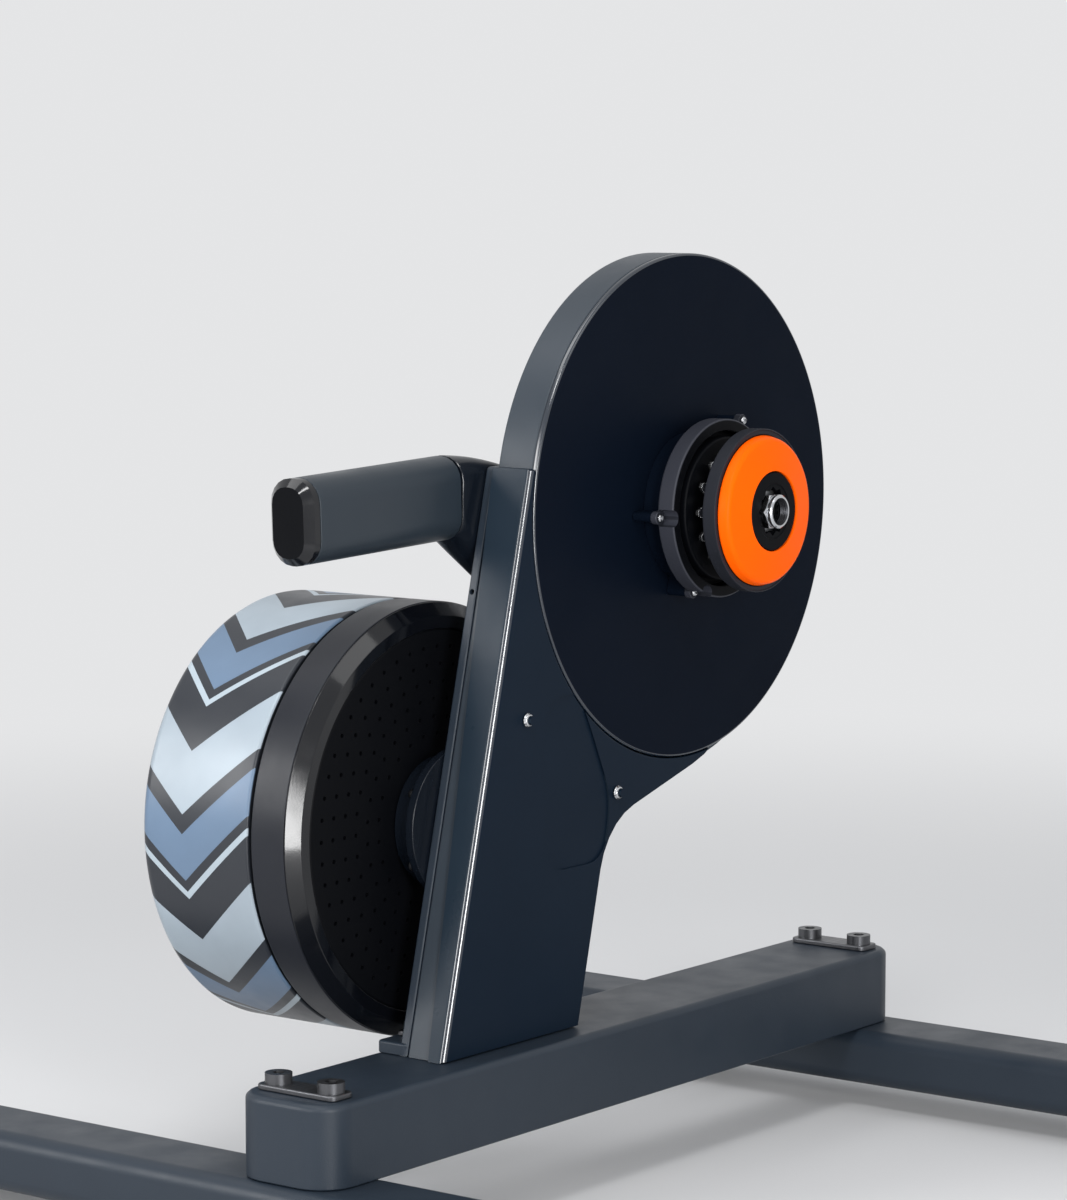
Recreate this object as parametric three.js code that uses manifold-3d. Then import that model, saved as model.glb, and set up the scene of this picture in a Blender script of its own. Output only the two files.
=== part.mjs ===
// A direct drive bike trainer: the bike's rear dropouts clamp on its axle in place of the rear wheel.
// The chain turns a single sprocket, a large belt pulley steps the speed up, and the belt turns a
// heavy flywheel that a magnetic brake slows. A frame plate carries all of it and stands on two legs.
//
// Lengths are in millimetres. +X is the way the bike faces, +Y is the bike's left, +Z is up.
// The origin is on the floor, under the middle of the two legs.

import * as THREE from "three";
import { mergeVertices } from "three/addons/utils/BufferGeometryUtils.js";
import Module from "manifold-3d";

const wasm = await Module();
wasm.setup();

// Driving sizes
const DROPOUT_SPAN = 142; // between the faces that the bike's dropouts clamp
const AXLE_HEIGHT = 340; // axle centre above the floor, as on a 700c wheel
const AXLE_FORWARD = 60; // axle centre ahead of the middle of the legs
const DISC_RADIUS = 129; // round belt housing
const HOUSING_DEPTH = 24.3; // round housing, from its drive side face to its back
const FACE_INSET = 57.8; // from the drive side dropout face to the housing's face
const FLYWHEEL_RADIUS = 108;
const FLYWHEEL_WIDTH = 69.7;
const SHAFT_INSET = 22.4; // flywheel shaft inside the housing's rear wall
const SHAFT_DROP = 148; // flywheel shaft below the axle
const LEG_SPAN = 584; // over the end caps of each leg
const BASE_LENGTH = 500; // over the two legs

// Fits and fineness
const GAP = 0.3; // between pieces that touch
const OVERRUN = 2; // how far a cutter runs past what it cuts
const WELD = 1e-4;
const HEX_SIDES = 6;
const COARSE_STEPS = 10;
const ROUND_STEPS = 20;
const GUARD_STEPS = 28;
const WHEEL_STEPS = 44;
const ARC_STEPS = 2;

const X_AXIS = new THREE.Vector3(1, 0, 0);
const Y_AXIS = new THREE.Vector3(0, 1, 0);
const Z_AXIS = new THREE.Vector3(0, 0, 1);

// Finishes
const FINISHES = {
  frame_paint: { color: 0x1a222c, roughness: 0.42, metalness: 0.15 },
  disc_plastic: { color: 0x10141c, roughness: 0.38, metalness: 0.0 },
  case_plastic: { color: 0x1c2633, roughness: 0.42, metalness: 0.0 },
  gloss_plastic: { color: 0x0a0c10, roughness: 0.18, metalness: 0.0 },
  black_plastic: { color: 0x1b1c20, roughness: 0.55, metalness: 0.0 },
  orange_plastic: { color: 0xf06010, roughness: 0.45, metalness: 0.0 },
  grip_grey: { color: 0x464d55, roughness: 0.45, metalness: 0.2 },
  flywheel_paint: { color: 0x3a3d42, roughness: 0.35, metalness: 0.3 },
  bright_steel: { color: 0xb8bac0, roughness: 0.25, metalness: 1.0 },
  dark_steel: { color: 0x45474c, roughness: 0.4, metalness: 1.0 },
  aluminium: { color: 0xa6a9ad, roughness: 0.35, metalness: 1.0 },
  rubber: { color: 0x141414, roughness: 0.9, metalness: 0.0 },
  copper: { color: 0xa8562a, roughness: 0.4, metalness: 0.9 },
  board_green: { color: 0x1c4a2c, roughness: 0.6, metalness: 0.0 },
};

// A closed three.js geometry as a solid whose faces point out.
function toSolid(geometry) {
  const bare = geometry.index ? geometry.toNonIndexed() : geometry.clone();
  bare.deleteAttribute("normal");
  bare.deleteAttribute("uv");
  const merged = mergeVertices(bare, WELD);
  const corners = merged.index.array;
  const kept = [];
  for (let i = 0; i < corners.length; i += 3) {
    const [a, b, c] = [corners[i], corners[i + 1], corners[i + 2]];
    if (a !== b && b !== c && c !== a) kept.push([a, b, c]);
  }
  const vertProperties = merged.attributes.position.array;
  const build = (triangles) =>
    new wasm.Manifold(
      new wasm.Mesh({
        numProp: 3,
        vertProperties,
        triVerts: new Uint32Array(triangles.flat()),
      }),
    );
  const solid = build(kept);
  return solid.volume() > 0 ? solid : build(kept.map(([a, b, c]) => [a, c, b]));
}

// A solid as a mesh with a name and a finish.
function piece(name, solid, finish) {
  const { vertProperties, triVerts } = solid.getMesh();
  const geometry = new THREE.BufferGeometry();
  geometry.setAttribute(
    "position",
    new THREE.BufferAttribute(new Float32Array(vertProperties), 3),
  );
  geometry.setIndex(new THREE.BufferAttribute(new Uint32Array(triVerts), 1));
  geometry.computeVertexNormals();
  const mesh = new THREE.Mesh(
    geometry,
    new THREE.MeshStandardMaterial(FINISHES[finish]),
  );
  mesh.name = name;
  return mesh;
}

// A flat outline in the XZ plane, pushed along Y from y0 to y1.
function prismY(shape, y0, y1, curveSegments = ARC_STEPS) {
  const geometry = new THREE.ExtrudeGeometry(shape, {
    depth: y1 - y0,
    bevelEnabled: false,
    curveSegments,
  });
  geometry.rotateX(Math.PI / 2);
  geometry.translate(0, y1, 0);
  return toSolid(geometry);
}

// A flat outline in the XY plane, pushed up from z0 to z1.
function prismZ(shape, z0, z1, curveSegments = ARC_STEPS) {
  const geometry = new THREE.ExtrudeGeometry(shape, {
    depth: z1 - z0,
    bevelEnabled: false,
    curveSegments,
  });
  geometry.translate(0, 0, z0);
  return toSolid(geometry);
}

// A flat outline in the YZ plane, pushed along X from x0 to x1.
function prismX(shape, x0, x1, curveSegments = ARC_STEPS) {
  const geometry = new THREE.ExtrudeGeometry(shape, {
    depth: x1 - x0,
    bevelEnabled: false,
    curveSegments,
  });
  geometry.applyMatrix4(new THREE.Matrix4().makeBasis(Y_AXIS, Z_AXIS, X_AXIS));
  geometry.translate(x0, 0, 0);
  return toSolid(geometry);
}

// A solid turned about the Y axis from [radius, y] points, which start and end on the axis or close.
function turned(points, steps = ROUND_STEPS) {
  const profile = points.map(([radius, y]) => new THREE.Vector2(radius, y));
  if (points[0][0] > 0) profile.push(profile[0].clone());
  return toSolid(new THREE.LatheGeometry(profile, steps));
}

function rod(radius, y0, y1, steps = ROUND_STEPS) {
  return turned(
    [
      [0, y0],
      [radius, y0],
      [radius, y1],
      [0, y1],
    ],
    steps,
  );
}

function ring(outer, inner, y0, y1, steps = ROUND_STEPS) {
  return turned(
    [
      [inner, y0],
      [outer, y0],
      [outer, y1],
      [inner, y1],
    ],
    steps,
  );
}

function block(x0, x1, y0, y1, z0, z1) {
  const geometry = new THREE.BoxGeometry(x1 - x0, y1 - y0, z1 - z0);
  geometry.translate((x0 + x1) / 2, (y0 + y1) / 2, (z0 + z1) / 2);
  return toSolid(geometry);
}

// Turns a solid made along Y so that it stands along Z, with +Y becoming +Z.
function upright(solid) {
  return solid.rotate([90, 0, 0]);
}

// A rounded rectangle outline about a centre.
function roundedBox(cx, cz, width, height, radius) {
  const shape = new THREE.Shape();
  const [x0, x1] = [cx - width / 2 + radius, cx + width / 2 - radius];
  const [z0, z1] = [cz - height / 2 + radius, cz + height / 2 - radius];
  shape.absarc(x1, z0, radius, -Math.PI / 2, 0, false);
  shape.absarc(x1, z1, radius, 0, Math.PI / 2, false);
  shape.absarc(x0, z1, radius, Math.PI / 2, Math.PI, false);
  shape.absarc(x0, z0, radius, Math.PI, Math.PI * 1.5, false);
  shape.closePath();
  return shape;
}

// A straight edge of a flat outline: the points p with p . normal = distance.
function edge(degrees, distance) {
  const angle = THREE.MathUtils.degToRad(degrees);
  return { nx: Math.cos(angle), nz: Math.sin(angle), distance };
}

function meet(a, b) {
  const cross = a.nx * b.nz - a.nz * b.nx;
  return new THREE.Vector2(
    (a.distance * b.nz - b.distance * a.nz) / cross,
    (a.nx * b.distance - b.nx * a.distance) / cross,
  );
}

// An outline through corner points, each [point, corner radius].
function outline(corners) {
  const shape = new THREE.Shape();
  corners.forEach(([point, radius], i) => {
    const before = corners[(i + corners.length - 1) % corners.length][0];
    const after = corners[(i + 1) % corners.length][0];
    const towards = (other) => other.clone().sub(point).normalize();
    const half = towards(before).angleTo(towards(after)) / 2;
    const cut = radius / Math.tan(half);
    const start = point.clone().addScaledVector(towards(before), cut);
    const end = point.clone().addScaledVector(towards(after), cut);
    if (i === 0) shape.moveTo(start.x, start.y);
    else shape.lineTo(start.x, start.y);
    if (radius > 0) shape.quadraticCurveTo(point.x, point.y, end.x, end.y);
  });
  shape.closePath();
  return shape;
}

const trainer = new THREE.Group();

// Base: a long pressed beam across two leg tubes
const LEG_WIDTH = 50;
const LEG_HEIGHT = 30;
const LEG_CORNER = 8;
const LEG_WALL = 2.5;
const LEG_CAP_LENGTH = 14; // what shows of each end cap
const LEG_CAP_TONGUE = 12; // what plugs into the tube
const FOOT_HEIGHT = 14; // underside of the legs above the floor
const FOOT_INSET = 34; // foot centre from the leg's end
const BEAM_WIDTH = 60;
const BEAM_HEIGHT = 40;
const BEAM_WALL = 3;
const BEAM_CORNER = 18;
const BEAM_INSET = 6; // beam's ends from the legs' outer edges
const BEAM_LEFT = 1.8; // beam's centre line left of the dropouts' middle
const LEG_BOLT_RADIUS = 4;
const LEG_BOLT_HEAD_RADIUS = 8;
const LEG_BOLT_HEAD_HEIGHT = 5;
const LEG_BOLT_SOCKET_RADIUS = 3.2;
const LEG_BOLT_SIDE = 16; // bolt from the beam's centre line
const LEG_BOLT_REACH = 8; // bolt's end below the leg's top
const STRAP_THICKNESS = 2.5;
const STRAP_MARGIN = 1.5; // strap round each bolt's head

const legTop = FOOT_HEIGHT + LEG_HEIGHT;
const legMiddle = FOOT_HEIGHT + LEG_HEIGHT / 2;
const legX = BASE_LENGTH / 2 - LEG_WIDTH / 2;
const legTubeEnd = LEG_SPAN / 2 - LEG_CAP_LENGTH;
const footY = LEG_SPAN / 2 - FOOT_INSET;
const beamBottom = legTop + GAP;
const beamTop = beamBottom + BEAM_HEIGHT;

const FOOT_STEM_RADIUS = 5;
const FOOT_STEM_RISE = 9; // stem above the leg's underside
const FOOT_RADIUS = 22;
const FOOT_TOP_RADIUS = 18;
const FOOT_EDGE = 2;

const STUD_FLANGE_RADIUS = 9;
const STUD_FLANGE_HEIGHT = 3.5;
const STUD_RISE = 24; // stud's top above the leg's underside
const STUD_PIN_RADIUS = 4;
const STUD_PIN_LENGTH = 5;
const LEVEL_FOOT_RADIUS = 23;
const LEVEL_FOOT_GRIPS = 12;
const LEVEL_FOOT_GRIP_RADIUS = 3;

const boltSpots = [-1, 1].map((side) => BEAM_LEFT + side * LEG_BOLT_SIDE);

function legTube(x) {
  const shape = roundedBox(x, legMiddle, LEG_WIDTH, LEG_HEIGHT, LEG_CORNER);
  shape.holes.push(
    roundedBox(
      x,
      legMiddle,
      LEG_WIDTH - 2 * LEG_WALL,
      LEG_HEIGHT - 2 * LEG_WALL,
      LEG_CORNER - LEG_WALL,
    ),
  );
  let tube = prismY(shape, -legTubeEnd, legTubeEnd, ARC_STEPS);
  for (const y of boltSpots) {
    const hole = upright(rod(LEG_BOLT_RADIUS + GAP, -LEG_WALL - OVERRUN, OVERRUN, COARSE_STEPS));
    tube = tube.subtract(hole.translate([x, y, legTop]));
  }
  for (const y of [-footY, footY]) {
    const hole = upright(rod(FOOT_STEM_RADIUS + GAP, -OVERRUN, LEG_WALL + OVERRUN, COARSE_STEPS));
    tube = tube.subtract(hole.translate([x, y, FOOT_HEIGHT]));
  }
  return tube;
}

function legCap(x, side) {
  const outer = roundedBox(x, legMiddle, LEG_WIDTH, LEG_HEIGHT, LEG_CORNER);
  const margin = 2 * (LEG_WALL + GAP);
  const inner = roundedBox(
    x,
    legMiddle,
    LEG_WIDTH - margin,
    LEG_HEIGHT - margin,
    LEG_CORNER - LEG_WALL - GAP,
  );
  const start = legTubeEnd + GAP;
  const edgeCut = LEG_CORNER / 2;
  const face = roundedBox(
    x,
    legMiddle,
    LEG_WIDTH - edgeCut,
    LEG_HEIGHT - edgeCut,
    LEG_CORNER - edgeCut / 2,
  );
  let cap = prismY(outer, start, LEG_SPAN / 2 - edgeCut / 2);
  cap = cap.add(prismY(face, start, LEG_SPAN / 2));
  cap = cap.add(prismY(inner, legTubeEnd - LEG_CAP_TONGUE, start + LEG_WALL));
  return side > 0 ? cap : cap.mirror([0, 1, 0]);
}

function fixedFoot() {
  return upright(
    turned([
      [0, 0],
      [FOOT_RADIUS - FOOT_EDGE, 0],
      [FOOT_RADIUS, FOOT_EDGE],
      [FOOT_TOP_RADIUS, FOOT_HEIGHT - GAP],
      [FOOT_STEM_RADIUS, FOOT_HEIGHT - GAP],
      [FOOT_STEM_RADIUS, FOOT_HEIGHT + FOOT_STEM_RISE],
      [0, FOOT_HEIGHT + FOOT_STEM_RISE],
    ]),
  );
}

const levelFootTop = FOOT_HEIGHT - 2 * GAP - STUD_FLANGE_HEIGHT;

function levelStud() {
  const flangeTop = FOOT_HEIGHT - GAP;
  return upright(
    turned(
      [
        [0, levelFootTop + GAP - STUD_PIN_LENGTH],
        [STUD_PIN_RADIUS, levelFootTop + GAP - STUD_PIN_LENGTH],
        [STUD_PIN_RADIUS, levelFootTop + GAP],
        [STUD_FLANGE_RADIUS, levelFootTop + GAP],
        [STUD_FLANGE_RADIUS, flangeTop],
        [FOOT_STEM_RADIUS, flangeTop],
        [FOOT_STEM_RADIUS, FOOT_HEIGHT + STUD_RISE],
        [0, FOOT_HEIGHT + STUD_RISE],
      ],
      COARSE_STEPS,
    ),
  );
}

function levelFoot() {
  let foot = turned([
    [0, 0],
    [LEVEL_FOOT_RADIUS - FOOT_EDGE, 0],
    [LEVEL_FOOT_RADIUS, FOOT_EDGE],
    [LEVEL_FOOT_RADIUS, levelFootTop],
    [0, levelFootTop],
  ]);
  foot = foot.subtract(
    rod(STUD_PIN_RADIUS + GAP, levelFootTop - STUD_PIN_LENGTH, levelFootTop + OVERRUN, COARSE_STEPS),
  );
  for (let i = 0; i < LEVEL_FOOT_GRIPS; i++) {
    const angle = ((i + 0.5) * 2 * Math.PI) / LEVEL_FOOT_GRIPS;
    const reach = LEVEL_FOOT_RADIUS + LEVEL_FOOT_GRIP_RADIUS / 2;
    const notch = rod(LEVEL_FOOT_GRIP_RADIUS, FOOT_EDGE, levelFootTop + OVERRUN, HEX_SIDES);
    foot = foot.subtract(notch.translate([reach * Math.cos(angle), 0, reach * Math.sin(angle)]));
  }
  return upright(foot);
}

function baseBeam() {
  const length = BASE_LENGTH - 2 * BEAM_INSET;
  const outer = roundedBox(0, BEAM_LEFT, length, BEAM_WIDTH, BEAM_CORNER);
  const inner = roundedBox(
    0,
    BEAM_LEFT,
    length - 2 * BEAM_WALL,
    BEAM_WIDTH - 2 * BEAM_WALL,
    BEAM_CORNER - BEAM_WALL,
  );
  let beam = prismZ(outer, beamBottom, beamTop);
  beam = beam.subtract(prismZ(inner, beamBottom - OVERRUN, beamTop - BEAM_WALL));
  for (const x of [-legX, legX]) {
    for (const y of boltSpots) {
      const hole = upright(rod(LEG_BOLT_RADIUS + GAP, 0, BEAM_WALL + 2 * OVERRUN, COARSE_STEPS));
      beam = beam.subtract(hole.translate([x, y, beamTop - BEAM_WALL - OVERRUN]));
    }
  }
  for (const x of footBoltXs) {
    const hole = upright(rod(FOOT_BOLT_RADIUS + GAP, 0, BEAM_WALL + 2 * OVERRUN, COARSE_STEPS));
    const place = [AXLE_FORWARD + x, footBoltY, beamTop - BEAM_WALL - OVERRUN];
    beam = beam.subtract(hole.translate(place));
  }
  return beam;
}

// A flat strap with two bolts fixed in it, drawn with the strap's underside at z = 0.
function boltStrap(spread, lengthwise, bolt) {
  const { radius, reach, headRadius, headHeight, socketRadius } = bolt;
  const half = spread / 2 + headRadius;
  const [halfX, halfY] = lengthwise ? [half, headRadius] : [headRadius, half];
  let strap = prismZ(roundedBox(0, 0, 2 * halfX, 2 * halfY, headRadius / 2), 0, STRAP_THICKNESS);
  const headTop = STRAP_THICKNESS + headHeight;
  const shank = rod(radius, -reach, STRAP_THICKNESS / 2, COARSE_STEPS);
  const head = rod(headRadius - STRAP_MARGIN, STRAP_THICKNESS / 2, headTop, COARSE_STEPS);
  const socket = rod(socketRadius, headTop - headHeight / 2, headTop + OVERRUN, HEX_SIDES);
  const one = upright(shank.add(head).subtract(socket));
  for (const side of [-spread / 2, spread / 2]) {
    strap = strap.add(one.translate(lengthwise ? [side, 0, 0] : [0, side, 0]));
  }
  return strap;
}

const LEG_BOLT = {
  radius: LEG_BOLT_RADIUS,
  reach: beamTop + GAP - legTop + LEG_BOLT_REACH,
  headRadius: LEG_BOLT_HEAD_RADIUS,
  headHeight: LEG_BOLT_HEAD_HEIGHT,
  socketRadius: LEG_BOLT_SOCKET_RADIUS,
};

for (const [end, x] of [
  ["front", legX],
  ["rear", -legX],
]) {
  trainer.add(piece(`${end}_leg`, legTube(x), "frame_paint"));
  const strap = boltStrap(2 * LEG_BOLT_SIDE, false, LEG_BOLT);
  const bolts = piece(`${end}_leg_bolts`, strap, "dark_steel");
  bolts.position.set(x, BEAM_LEFT, beamTop + GAP);
  trainer.add(bolts);
  for (const [hand, side] of [
    ["left", 1],
    ["right", -1],
  ]) {
    trainer.add(piece(`${end}_leg_cap_${hand}`, legCap(x, side), "black_plastic"));
    const spot = new THREE.Vector3(x, side * footY, 0);
    if (end === "front") {
      const foot = piece(`front_foot_${hand}`, fixedFoot(), "rubber");
      foot.position.copy(spot);
      trainer.add(foot);
    } else {
      const stud = piece(`level_stud_${hand}`, levelStud(), "bright_steel");
      stud.position.copy(spot);
      const foot = piece(`level_foot_${hand}`, levelFoot(), "rubber");
      foot.position.copy(spot);
      trainer.add(stud, foot);
    }
  }
}

// Everything above the base is placed from the axle.
const upper = new THREE.Group();
upper.position.set(AXLE_FORWARD, 0, AXLE_HEIGHT);
trainer.add(upper);

// Belt housing: a round case with a leg that runs down behind it to the base
const COVER_THICKNESS = 2.5;
const HOUSING_WALL = 2.5;
const FRAME_THICKNESS = 5;
const SPINE_STANDOFF = 2; // housing's rear wall outside the round case's tangent
const SPINE_LEAN = 13.9; // degrees, how far the rear wall and the neck lean from upright
const UNDER_TURN = 2.3; // degrees, from the way the belt's lower run faces to the wall under it
const UNDER_STANDOFF = 2.4; // housing's lower front wall outside the round case's tangent
const NECK_WIDTH = 103;
const NECK_FILLET = 40;
const SPINE_TOP = 26.4; // where the rear wall starts, above the axle
const FLANGE_THICKNESS = 2; // side cover's flange, folded over the rear wall
const FLANGE_TOP_DEPTH = 24;
const FLANGE_FOOT_DEPTH = 9.5;
const COVER_SEAM = 0.6; // groove round the disc cover
const HUB_HOLE_RADIUS = 24.5;
const PULLEY_CLEARANCE = 18.5; // belt seat on the large pulley, inside the housing's wall
const SMALL_PULLEY_RADIUS = 14;

const faceY = -DROPOUT_SPAN / 2 + FACE_INSET;
const backY = faceY + HOUSING_DEPTH;
const rimY = faceY + COVER_THICKNESS + GAP;
const frameBackY = backY + GAP + FRAME_THICKNESS;
const neckBottom = beamTop + GAP - AXLE_HEIGHT;
const spineDistance = DISC_RADIUS + SPINE_STANDOFF;
const spineNormal = 180 - SPINE_LEAN;
const shaftZ = -SHAFT_DROP;
const shaftX = meet(edge(spineNormal, spineDistance - SHAFT_INSET), edge(90, shaftZ)).x;
const pulleyRadius = DISC_RADIUS - HOUSING_WALL - PULLEY_CLEARANCE;
const shaftDistance = Math.hypot(shaftX, shaftZ);
const shaftBearing = Math.atan2(shaftZ, shaftX);
const beltLean = Math.acos((pulleyRadius - SMALL_PULLEY_RADIUS) / shaftDistance);
const upperRun = shaftBearing - beltLean; // which way the upper run of the belt faces
const lowerRun = shaftBearing + beltLean;
const underNormal = THREE.MathUtils.radToDeg(lowerRun) - UNDER_TURN;

// The housing's outline below the round case, moved in by a margin.
function neckCorners(margin, rear = 0) {
  const spine = edge(spineNormal, spineDistance + rear - margin);
  const under = edge(underNormal, DISC_RADIUS + UNDER_STANDOFF - margin);
  const front = edge(spineNormal + 180, NECK_WIDTH - spineDistance - margin);
  const floor = edge(270, -neckBottom - margin);
  const top = edge(90, SPINE_TOP - margin);
  const start = new THREE.Vector2(under.nx, under.nz).multiplyScalar(under.distance);
  return {
    top: meet(spine, top),
    heel: meet(spine, floor),
    toe: meet(front, floor),
    elbow: meet(front, under),
    start,
  };
}

function neckOutline(margin, rear = 0) {
  const { top, heel, toe, elbow, start } = neckCorners(margin, rear);
  return outline([
    [new THREE.Vector2(0, top.y), 0],
    [top, 0],
    [heel, 0],
    [toe, 0],
    [elbow, NECK_FILLET + margin],
    [start, 0],
    [new THREE.Vector2(0, 0), 0],
  ]);
}

function caseSolid(margin, y0, y1) {
  const round = rod(DISC_RADIUS - margin, y0, y1, WHEEL_STEPS);
  return round.add(prismY(neckOutline(margin), y0, y1));
}

const AXLE_RADIUS = 8.5;
const AXLE_BORE_RADIUS = 6.25;
const SHAFT_RADIUS = 8.5;
const SHAFT_CLEARANCE = 2.5; // round the shaft where it passes the walls
const PIVOT_RADIUS = 4; // tension arm's pivot pin
const COVER_SCREW_RADIUS = 2;
const COVER_SCREW_HEAD_RADIUS = 3.8;
const COVER_SCREW_HEAD_HEIGHT = 2.2;
const COVER_SCREW_SOCKET_RADIUS = 1.5;
const COVER_SCREW_SOCKET_DEPTH = 1.2;
const COVER_SCREW_BOSS_RADIUS = 3.6;
const COVER_SCREW_LENGTH = 12;
const SCREW_UPPER_ANGLE = 215.5; // degrees round the disc
const SCREW_UPPER_STANDOFF = 36.3; // outside the disc
const SCREW_LOWER_STANDOFF = 7; // outside the belt's seat
const SCREW_LOWER_ALONG = 101; // down the belt's lower run from the large pulley

// A place outside the disc, at an angle round it.
function roundDisc(degrees, standoff) {
  const angle = THREE.MathUtils.degToRad(degrees);
  return new THREE.Vector2(Math.cos(angle), Math.sin(angle)).multiplyScalar(DISC_RADIUS + standoff);
}
// A place by the belt's lower run: its distance from the axle, square to the run, and along the run.
function alongRun(inset, along) {
  const across = new THREE.Vector2(Math.cos(lowerRun), Math.sin(lowerRun));
  const down = new THREE.Vector2(across.y, -across.x);
  return across.multiplyScalar(inset).addScaledVector(down, along);
}
const coverScrews = {
  upper: roundDisc(SCREW_UPPER_ANGLE, SCREW_UPPER_STANDOFF),
  lower: alongRun(pulleyRadius + SCREW_LOWER_STANDOFF, SCREW_LOWER_ALONG),
};

// Frame plate: the steel backbone behind the housing, with a foot bolted down to the beam
const PLATE_SHARE = 0.93; // plate's round end, as a share of the disc's radius
const FLANGE_FOOT_WIDTH = 14; // foot beyond the plate's back
const FLANGE_FOOT_THICKNESS = 6;
const FOOT_BOLT_RADIUS = 3;
const FOOT_BOLT_HEAD_RADIUS = 5;
const FOOT_BOLT_HEAD_HEIGHT = 4;
const FOOT_BOLT_SOCKET_RADIUS = 2.5;
const FOOT_BOLT_END_INSET = 18; // bolt from the foot's end
const SOCKET_RADIUS = 5.5; // power socket's barrel
const SOCKET_PLACE_SHARE = { along: 0.62, up: 0.16 }; // of the neck's width and height, from its heel

const BOARD_WIDTH = 66;
const BOARD_HEIGHT = 50;
const BOARD_THICKNESS = 1.6;
const BOARD_INSET = 10; // board behind the housing's face
const BOARD_POST_RADIUS = 3;
const BOARD_PLACE_SHARE = { along: 0.5, up: 0.15 };
const SOCKET_PROUD = 1.2;
const SOCKET_WALL = 1.4;
const SOCKET_PIN_RADIUS = 1.1;
const SOCKET_DEPTH = 9;

const plateFront = backY + GAP;
const neck = neckCorners(0);
const footBoltY = frameBackY + FLANGE_FOOT_WIDTH / 2;
const neckHeight = SPINE_TOP - neckBottom;

// A place in the neck's foot, as shares of its width and of the neck's height from its heel.
function inNeck({ along, up }) {
  const z = neckBottom + up * neckHeight;
  const lean = (neck.heel.x - neck.top.x) / (neck.heel.y - neck.top.y);
  const x = neck.heel.x + lean * (z - neckBottom) + along * (neck.toe.x - neck.heel.x);
  return { x, z };
}

const socketPlace = inNeck(SOCKET_PLACE_SHARE);
const boardPlace = inNeck(BOARD_PLACE_SHARE);
const boardY = faceY + BOARD_INSET;
const footBoltXs = [neck.heel.x + FOOT_BOLT_END_INSET, neck.toe.x - FOOT_BOLT_END_INSET];

// Handle, on a cast bracket bolted to the frame plate's back: it points rearwards and droops
const HANDLE_STANDOFF = 44.5; // handle's middle plane behind the housing's face
const HANDLE_WIDTH = 26.7;
const HANDLE_HEIGHT = 41.5;
const HANDLE_CORNER = 12;
const HANDLE_DROOP = 2.3; // degrees
const HANDLE_RAISE = 11.4; // grip's start above the axle
const GRIP_STANDOFF = 15; // grip's start behind the rear wall, at the axle's height
const GRIP_LENGTH = 106;
const GRIP_WALL = 3;
const GRIP_CAP_LENGTH = 8;
const GRIP_CAP_CHAMFER = 3;
const GRIP_CAP_TONGUE = 12;
const TONGUE_LENGTH = 50;
const BRACKET_OVERLAP = 29; // bracket's front end ahead of the rear wall, at the axle's height
const BRACKET_PAD = 6;
const BRACKET_TOP_RISE = 1.5; // bracket's top above the grip
const BRACKET_TOP_FALL = 8; // how far its top drops to the front
const BRACKET_GUSSET = 22; // gusset below the grip, at the plate
const BRACKET_CORNER = 6;
const BRACKET_BOLT_RADIUS = 3;
const BRACKET_BOLT_HEAD_RADIUS = 5.2;
const BRACKET_BOLT_HEAD_HEIGHT = 3.4;
const BRACKET_BOLT_INSET = 10;

const handleY = faceY + HANDLE_STANDOFF;
const gripStartX = -spineDistance - GRIP_STANDOFF;
const bracketFrontX = -spineDistance + BRACKET_OVERLAP;
const gripLean = (HANDLE_HEIGHT / 2) * Math.sin(THREE.MathUtils.degToRad(HANDLE_DROOP));
const handleTop = HANDLE_RAISE + HANDLE_HEIGHT / 2;
const handleBottom = HANDLE_RAISE - HANDLE_HEIGHT / 2;
const bracketBolts = {
  upper: { x: bracketFrontX - BRACKET_BOLT_INSET, z: HANDLE_RAISE },
  lower: { x: bracketFrontX - 2 * BRACKET_BOLT_INSET, z: handleBottom - BRACKET_BOLT_INSET },
};

// Belt drive
const IDLER_RADIUS = 13;
const BELT_WIDTH = 10;
const BELT_THICKNESS = 2.6;
const PULLEY_FLANGE_RISE = 1.8;
const PULLEY_FLANGE_WIDTH = 1.2;
const PULLEY_RIM_DEPTH = 7;
const PULLEY_WEB = 4;
const PULLEY_HUB_RADIUS = 22.5;
const PULLEY_HUB_NOSE = 7; // hub in front of the housing's face
const PULLEY_WINDOWS = 6;
const PULLEY_WINDOW_MARGIN = 15.2; // window to the hub and to the rim
const BELT_FRONT = 7.5; // belt's front edge behind the housing's face
const BEARING_RADIUS = 15;
const BEARING_WIDTH = 7;
const BEARING_STEP = 1; // lip between a bearing and the open bore
const AXLE_COLLAR_RADIUS = 13;
const AXLE_COLLAR_WIDTH = 1.8;

const beltY0 = faceY + BELT_FRONT;
const beltY1 = beltY0 + BELT_WIDTH;
const rimFrontY = beltY0 - GAP - PULLEY_FLANGE_WIDTH;
const rimBackY = beltY1 + GAP + PULLEY_FLANGE_WIDTH;

// Profile of a pulley's rim: a belt seat between two flanges, as [radius, y] points.
function pulleyRim(seat, inner) {
  const lip = seat + PULLEY_FLANGE_RISE;
  return [
    [inner, rimFrontY],
    [lip, rimFrontY],
    [lip, beltY0 - GAP],
    [seat, beltY0 - GAP],
    [seat, beltY1 + GAP],
    [lip, beltY1 + GAP],
    [lip, rimBackY],
    [inner, rimBackY],
  ];
}

const hubFrontY = faceY - PULLEY_HUB_NOSE;
const bearingPlaces = {
  front: hubFrontY + BEARING_STEP,
  rear: rimBackY - BEARING_STEP - BEARING_WIDTH,
};

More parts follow.
